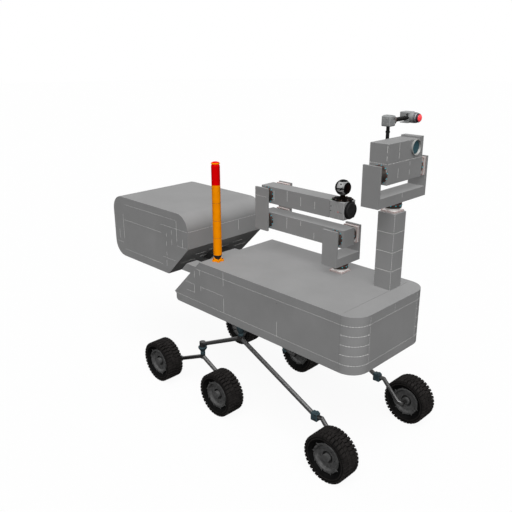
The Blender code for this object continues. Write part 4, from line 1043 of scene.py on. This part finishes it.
# Wheels. Moulded rubber tyres with two staggered rows of bars, on shallow pressed rims that
# carry a notched clamping ring, a recess lined black as painted shade and a turned hub cap.
SIDES = (("right", -1), ("left", 1))
WHEELS = tuple((end, name, side) for end in ("front", "middle", "rear") for name, side in SIDES)
tyre_low, tyre_high = box("tyre_front_left")
tyre_r = (tyre_high[2] - tyre_low[2]) / 2
tyre_half = (tyre_high[1] - tyre_low[1]) / 2
hub_y = middle("tyre_front_left").y
axle_x = {end: middle(f"tyre_{end}_left").x for end in ("front", "middle", "rear")}
BARS = 37
BAR_RISE = 0.0105
RIM_EDGE = 0.0845
RIM_SEAT = 0.0725
RIM_INSET = 0.0140
DISH_Z = 0.0270
RECESS_Z = 0.0120
disc_z = tyre_half - RIM_INSET

tyre_sidewall = Finish("tyre_sidewall", 0.7, specular=0.03)
tyre_sidewall.shades(tyre_sidewall.noise(30.0, 3.0), (0.0028,) * 3, (0.0056,) * 3)
tyre_sidewall.bump(tyre_sidewall.noise(260.0, 3.0), 0.2, 0.0004)
tyre_rubber = Finish("tyre_rubber", specular=0.05)
dusty = tyre_rubber.noise(26.0, 5.0)
tyre_rubber.shades(dusty, (0.0090, 0.0081, 0.0078), (0.0190, 0.0172, 0.0166))
tyre_rubber.set("Roughness", dusty * 0.2 + 0.7)
tyre_rubber.bump(tyre_rubber.noise(380.0, 4.0), 0.35, 0.0006)


def carcass_mesh():
    """Tyre body about Y, with smooth walls that stand proud of the rim."""
    crown = tyre_r - BAR_RISE
    half = tyre_half
    profile = [(RIM_SEAT, disc_z - 0.006), (RIM_EDGE - 0.0006, disc_z - 0.006),
               (RIM_EDGE, disc_z + 0.001), (RIM_EDGE + 0.0055, half - 0.0090),
               (RIM_EDGE + 0.0140, half - 0.0035),
               (crown - 0.0060, half - 0.0004), (crown - 0.0020, half - 0.0022),
               (crown, half - 0.0060), (crown + 0.0004, 0)]
    profile += [(r, -y) for r, y in reversed(profile[:-1])]
    profile += [profile[0]]
    bm = bmesh.new()
    verts = [bm.verts.new((r, y, 0)) for r, y in profile]
    edges = [bm.edges.new(pair) for pair in zip(verts, verts[1:])]
    bmesh.ops.spin(bm, geom=verts + edges, cent=(0, 0, 0), axis=(0, 1, 0), angle=2 * pi,
                   steps=BARS * 2, use_merge=True)
    return to_mesh(bm, "carcass")


def block(bm, turn, row, inner, outer, width, low, high, slope):
    """Tread block that narrows to its top, between two distances from the tyre's middle."""
    made = bmesh.ops.create_cube(bm, size=1.0)["verts"]
    for v in made:
        top = v.co.z > 0
        far = v.co.y > 0
        y = (outer if far else inner) - (slope if top and far else 0)
        x = v.co.x * width * (0.88 if top else 1.0) + (0.0022 if far else -0.0022)
        z = (high ** 2 - x ** 2) ** 0.5 if top else low
        v.co = Vector((x, row * y, z))
    bmesh.ops.transform(bm, matrix=turn, verts=made)


def tread_mesh():
    """Two staggered rows of broad bars, each with a narrow bar on the shoulder behind it."""
    crown = tyre_r - BAR_RISE
    pitch = 2 * pi / BARS
    width = tyre_r * pitch
    bm = bmesh.new()
    for row, phase in ((-1, 0.75), (1, 0.25)):
        for i in range(BARS):
            turn = Matrix.Rotation(pitch * (i + phase), 4, "Y")
            block(bm, turn, row, 0.0012, 0.0245, width * 0.84, crown - 0.003, tyre_r, 0.0006)
            block(bm, turn, row, 0.0262, tyre_half - 0.0001, width * 0.76, crown - 0.014,
                  tyre_r - 0.0004, 0.0034)
    return to_mesh(bm, "tread")


rim_enamel = Finish("rim_enamel", specular=0.10)
grit = rim_enamel.noise(60.0, 4.0)
rim_enamel.shades(grit, (0.040,) * 3, (0.082,) * 3)
rim_enamel.set("Roughness", grit * 0.2 + 0.5)
rim_enamel.bump(rim_enamel.noise(500.0), 0.12, 0.0003)
RING_PARTS = 9
RING_HALF = radians(16)
RING_INNER = 0.0665
RING_OUTER = 0.0744
RING_THICK = 0.0028
RING_POINT = 0.0085


def ring_piece(bm, middle_way, low):
    """Flat segment of the clamping ring with one pointed corner."""
    steps = 10
    shares = [i / steps for i in range(steps + 1)]
    start = middle_way - RING_HALF
    edge = [(RING_OUTER + RING_POINT * t ** 7, start + 2 * RING_HALF * t) for t in shares]
    edge += [(RING_INNER, start + 2 * RING_HALF * t) for t in reversed(shares)]
    face = bm.faces.new([bm.verts.new((r * cos(a), r * sin(a), low)) for r, a in edge])
    grown = bmesh.ops.extrude_face_region(bm, geom=[face])
    top = [v for v in grown["geom"] if isinstance(v, bmesh.types.BMVert)]
    bmesh.ops.translate(bm, vec=(0, 0, RING_THICK), verts=top)


def rim_mesh():
    """Rim about Z, outer side up: flange, shallow dish, notched ring, recess and hub cap."""
    bm = bmesh.new()
    dish = [(0.0735, disc_z), (0.0650, disc_z), (0.0640, disc_z - 0.0010),
            (0.0592, DISH_Z + 0.0014), (0.0570, DISH_Z), (0.0312, DISH_Z), (0.0310, RECESS_Z),
            (0.0205, RECESS_Z)]
    back = [(0, 0.0085), (0.0108, 0.0085), (0.0108, -0.0370), (0.0205, -0.0370)]
    back += [(r, -z) for r, z in reversed(dish)]
    turned(bm, back + dish + [(0.0205, 0.0424), (0.0194, 0.0434), (0, 0.0434)], 72)
    for i in range(RING_PARTS):
        for low in (disc_z - 0.0006, -disc_z - 0.0022):
            ring_piece(bm, 2 * pi * i / RING_PARTS, low)
    return to_mesh(bm, "rim")


shapes = {"carcass": carcass_mesh(), "tread": tread_mesh(), "wheel_disc": rim_mesh()}
bm = bmesh.new()
screw_circle(bm, (0, 0, DISH_Z), 0.0440, 6, 0.0028, 0.0020)
screw_circle(bm, (0, 0, disc_z + 0.0020), 0.0705, RING_PARTS, 0.0019, 0.0014)
shapes["wheel_screws"] = to_mesh(bm, "rim_screws")
# Black liner on the floor and walls of the hub's recess on both faces: painted shade. Three small
# dark spots on the dish go with it.
bm = bmesh.new()
for side in (-1, 1):
    bottom, top = RECESS_Z + 0.0003, DISH_Z - 0.001
    liner = [(0.0207, bottom), (0.0308, bottom), (0.0308, top), (0.0302, top),
             (0.0302, RECESS_Z + 0.0010), (0.0211, RECESS_Z + 0.0010), (0.0211, top), (0.0207, top),
             (0.0207, bottom)]
    turned(bm, [(r, side * z) for r, z in liner], 56)
for i in range(3):
    a = 2 * pi * (i + 0.25) / 3
    turned(bm, [(0, DISH_Z + 0.0001), (0.0034, DISH_Z + 0.0001), (0.0032, DISH_Z + 0.0005),
                (0, DISH_Z + 0.0005)], 16,
           Matrix.Translation((0.0540 * cos(a), 0.0540 * sin(a), 0)))
shapes["wheel_recess"] = to_mesh(bm, "rim_recess")
WHEEL_PIECES = (("carcass", tyre_sidewall, "tyre_rubber", "tyre"),
                ("tread", tyre_rubber, "tyre_rubber", None),
                ("wheel_disc", rim_enamel, "rim_grey", "rim"),
                ("wheel_screws", blued_screw, "rim_grey", None),
                ("wheel_recess", black_rubber_and_shade, "rim_grey", None))
for end, name, side in WHEELS:
    place = Matrix.Translation((axle_x[end], side * hub_y, tyre_r))
    out = place @ Matrix.Rotation(-side * pi / 2, 4, "X")
    for kind, paint, finish_slot, node in WHEEL_PIECES:
        mesh = shapes[kind].copy()
        mesh.transform(place if kind in ("carcass", "tread") else out)
        stands_for = [f"{node}_{end}_{name}"] if node else []
        hang(f"{kind}_{end}_{name}", mesh, f"wheel_{end}_{name}", paint, finish_slot, *stands_for)


# Rocker and bogie frames. Round steel tube, ground and lacquered dark, with teal cast
# fittings at the pivots, the knees and the wheel ends.
lacquered_tube = Finish("lacquered_tube", specular=1.0)
drawn = lacquered_tube.noise(60.0, 4.0)
lacquered_tube.shades(drawn, (0.006, 0.006, 0.006), (0.013, 0.012, 0.012))
lacquered_tube.set("Roughness", drawn * 0.08 + 0.24)
lacquered_tube.bump(lacquered_tube.noise(500.0, 2.0), 0.02, 0.0001)
teal_casting = Finish("teal_casting", 0.45, metallic=0.1, specular=0.15)
pitted = teal_casting.noise(180.0, 4.0)
teal_casting.shades(teal_casting.noise(45.0) * 0.6 + pitted * 0.4,
                    (0.022, 0.034, 0.040), (0.048, 0.078, 0.090))
teal_casting.bump(pitted, 0.2, 0.0004)

for name, _ in SIDES:
    for node in ("rocker_", "bogie_"):
        softened(node + name, "chassis", lacquered_tube, "tube_steel", 0.0006)
    for node in ("hull_pivot_", "bogie_pivot_"):
        softened(node + name, "chassis", teal_casting, "fitting_teal", 0.0008)

FRAME_Y = 0.265
COLLAR_REACH = 0.078
COLLAR_RISE = 0.0065
KNEE_REACH = 0.163
KNEE_RISE = 0.101
knee = Vector((axle_x["front"] - KNEE_REACH, 0, tyre_r + KNEE_RISE))
bm = bmesh.new()
holes = bmesh.new()
for _, side in SIDES:
    y = side * FRAME_Y
    for end, way in (("rear", 1), ("middle", -1)):
        turned(bm, [(0.0116, -0.008), (0.0162, -0.008), (0.0170, -0.006), (0.0170, 0.006),
                    (0.0162, 0.008), (0.0116, 0.008), (0.0116, -0.008)], 20,
               quarter_turn((axle_x[end] + way * COLLAR_REACH, y, tyre_r + COLLAR_RISE), "Y"))
    plate(bm, (knee.x, y, knee.z - 0.0223), X, Y, Z, 0.0406, 0.0306, 0.0446, 0.0030)
    for x, z, wide in ((0.007, 0.020, 0.013), (-0.013, -0.024, 0.011), (0.012, -0.023, 0.009)):
        plate(bm, (knee.x + x, y, knee.z + z), X, Y, Z, wide, 0.026, 0.007, 0.0015)
    # Dark discs in raised rims stand for the knee's holes: painted shade where the holes would be
    for lean, z, r in ((0.0085, 0.0130, 0.0046), (0.0065, -0.0125, 0.0056)):
        for place in (quarter_turn((knee.x + 0.0205, y + side * lean, knee.z + z), "Y"),
                      quarter_turn((knee.x + lean, y + side * 0.0154, knee.z + z), "X", -side)):
            eyelet(holes, r, 0.0010, 0.0014, place, 20)
piece("frame_fittings", bm, "chassis", teal_casting, "fitting_teal")
piece("knee_holes", holes, "chassis", black_rubber_and_shade, "black_plastic")
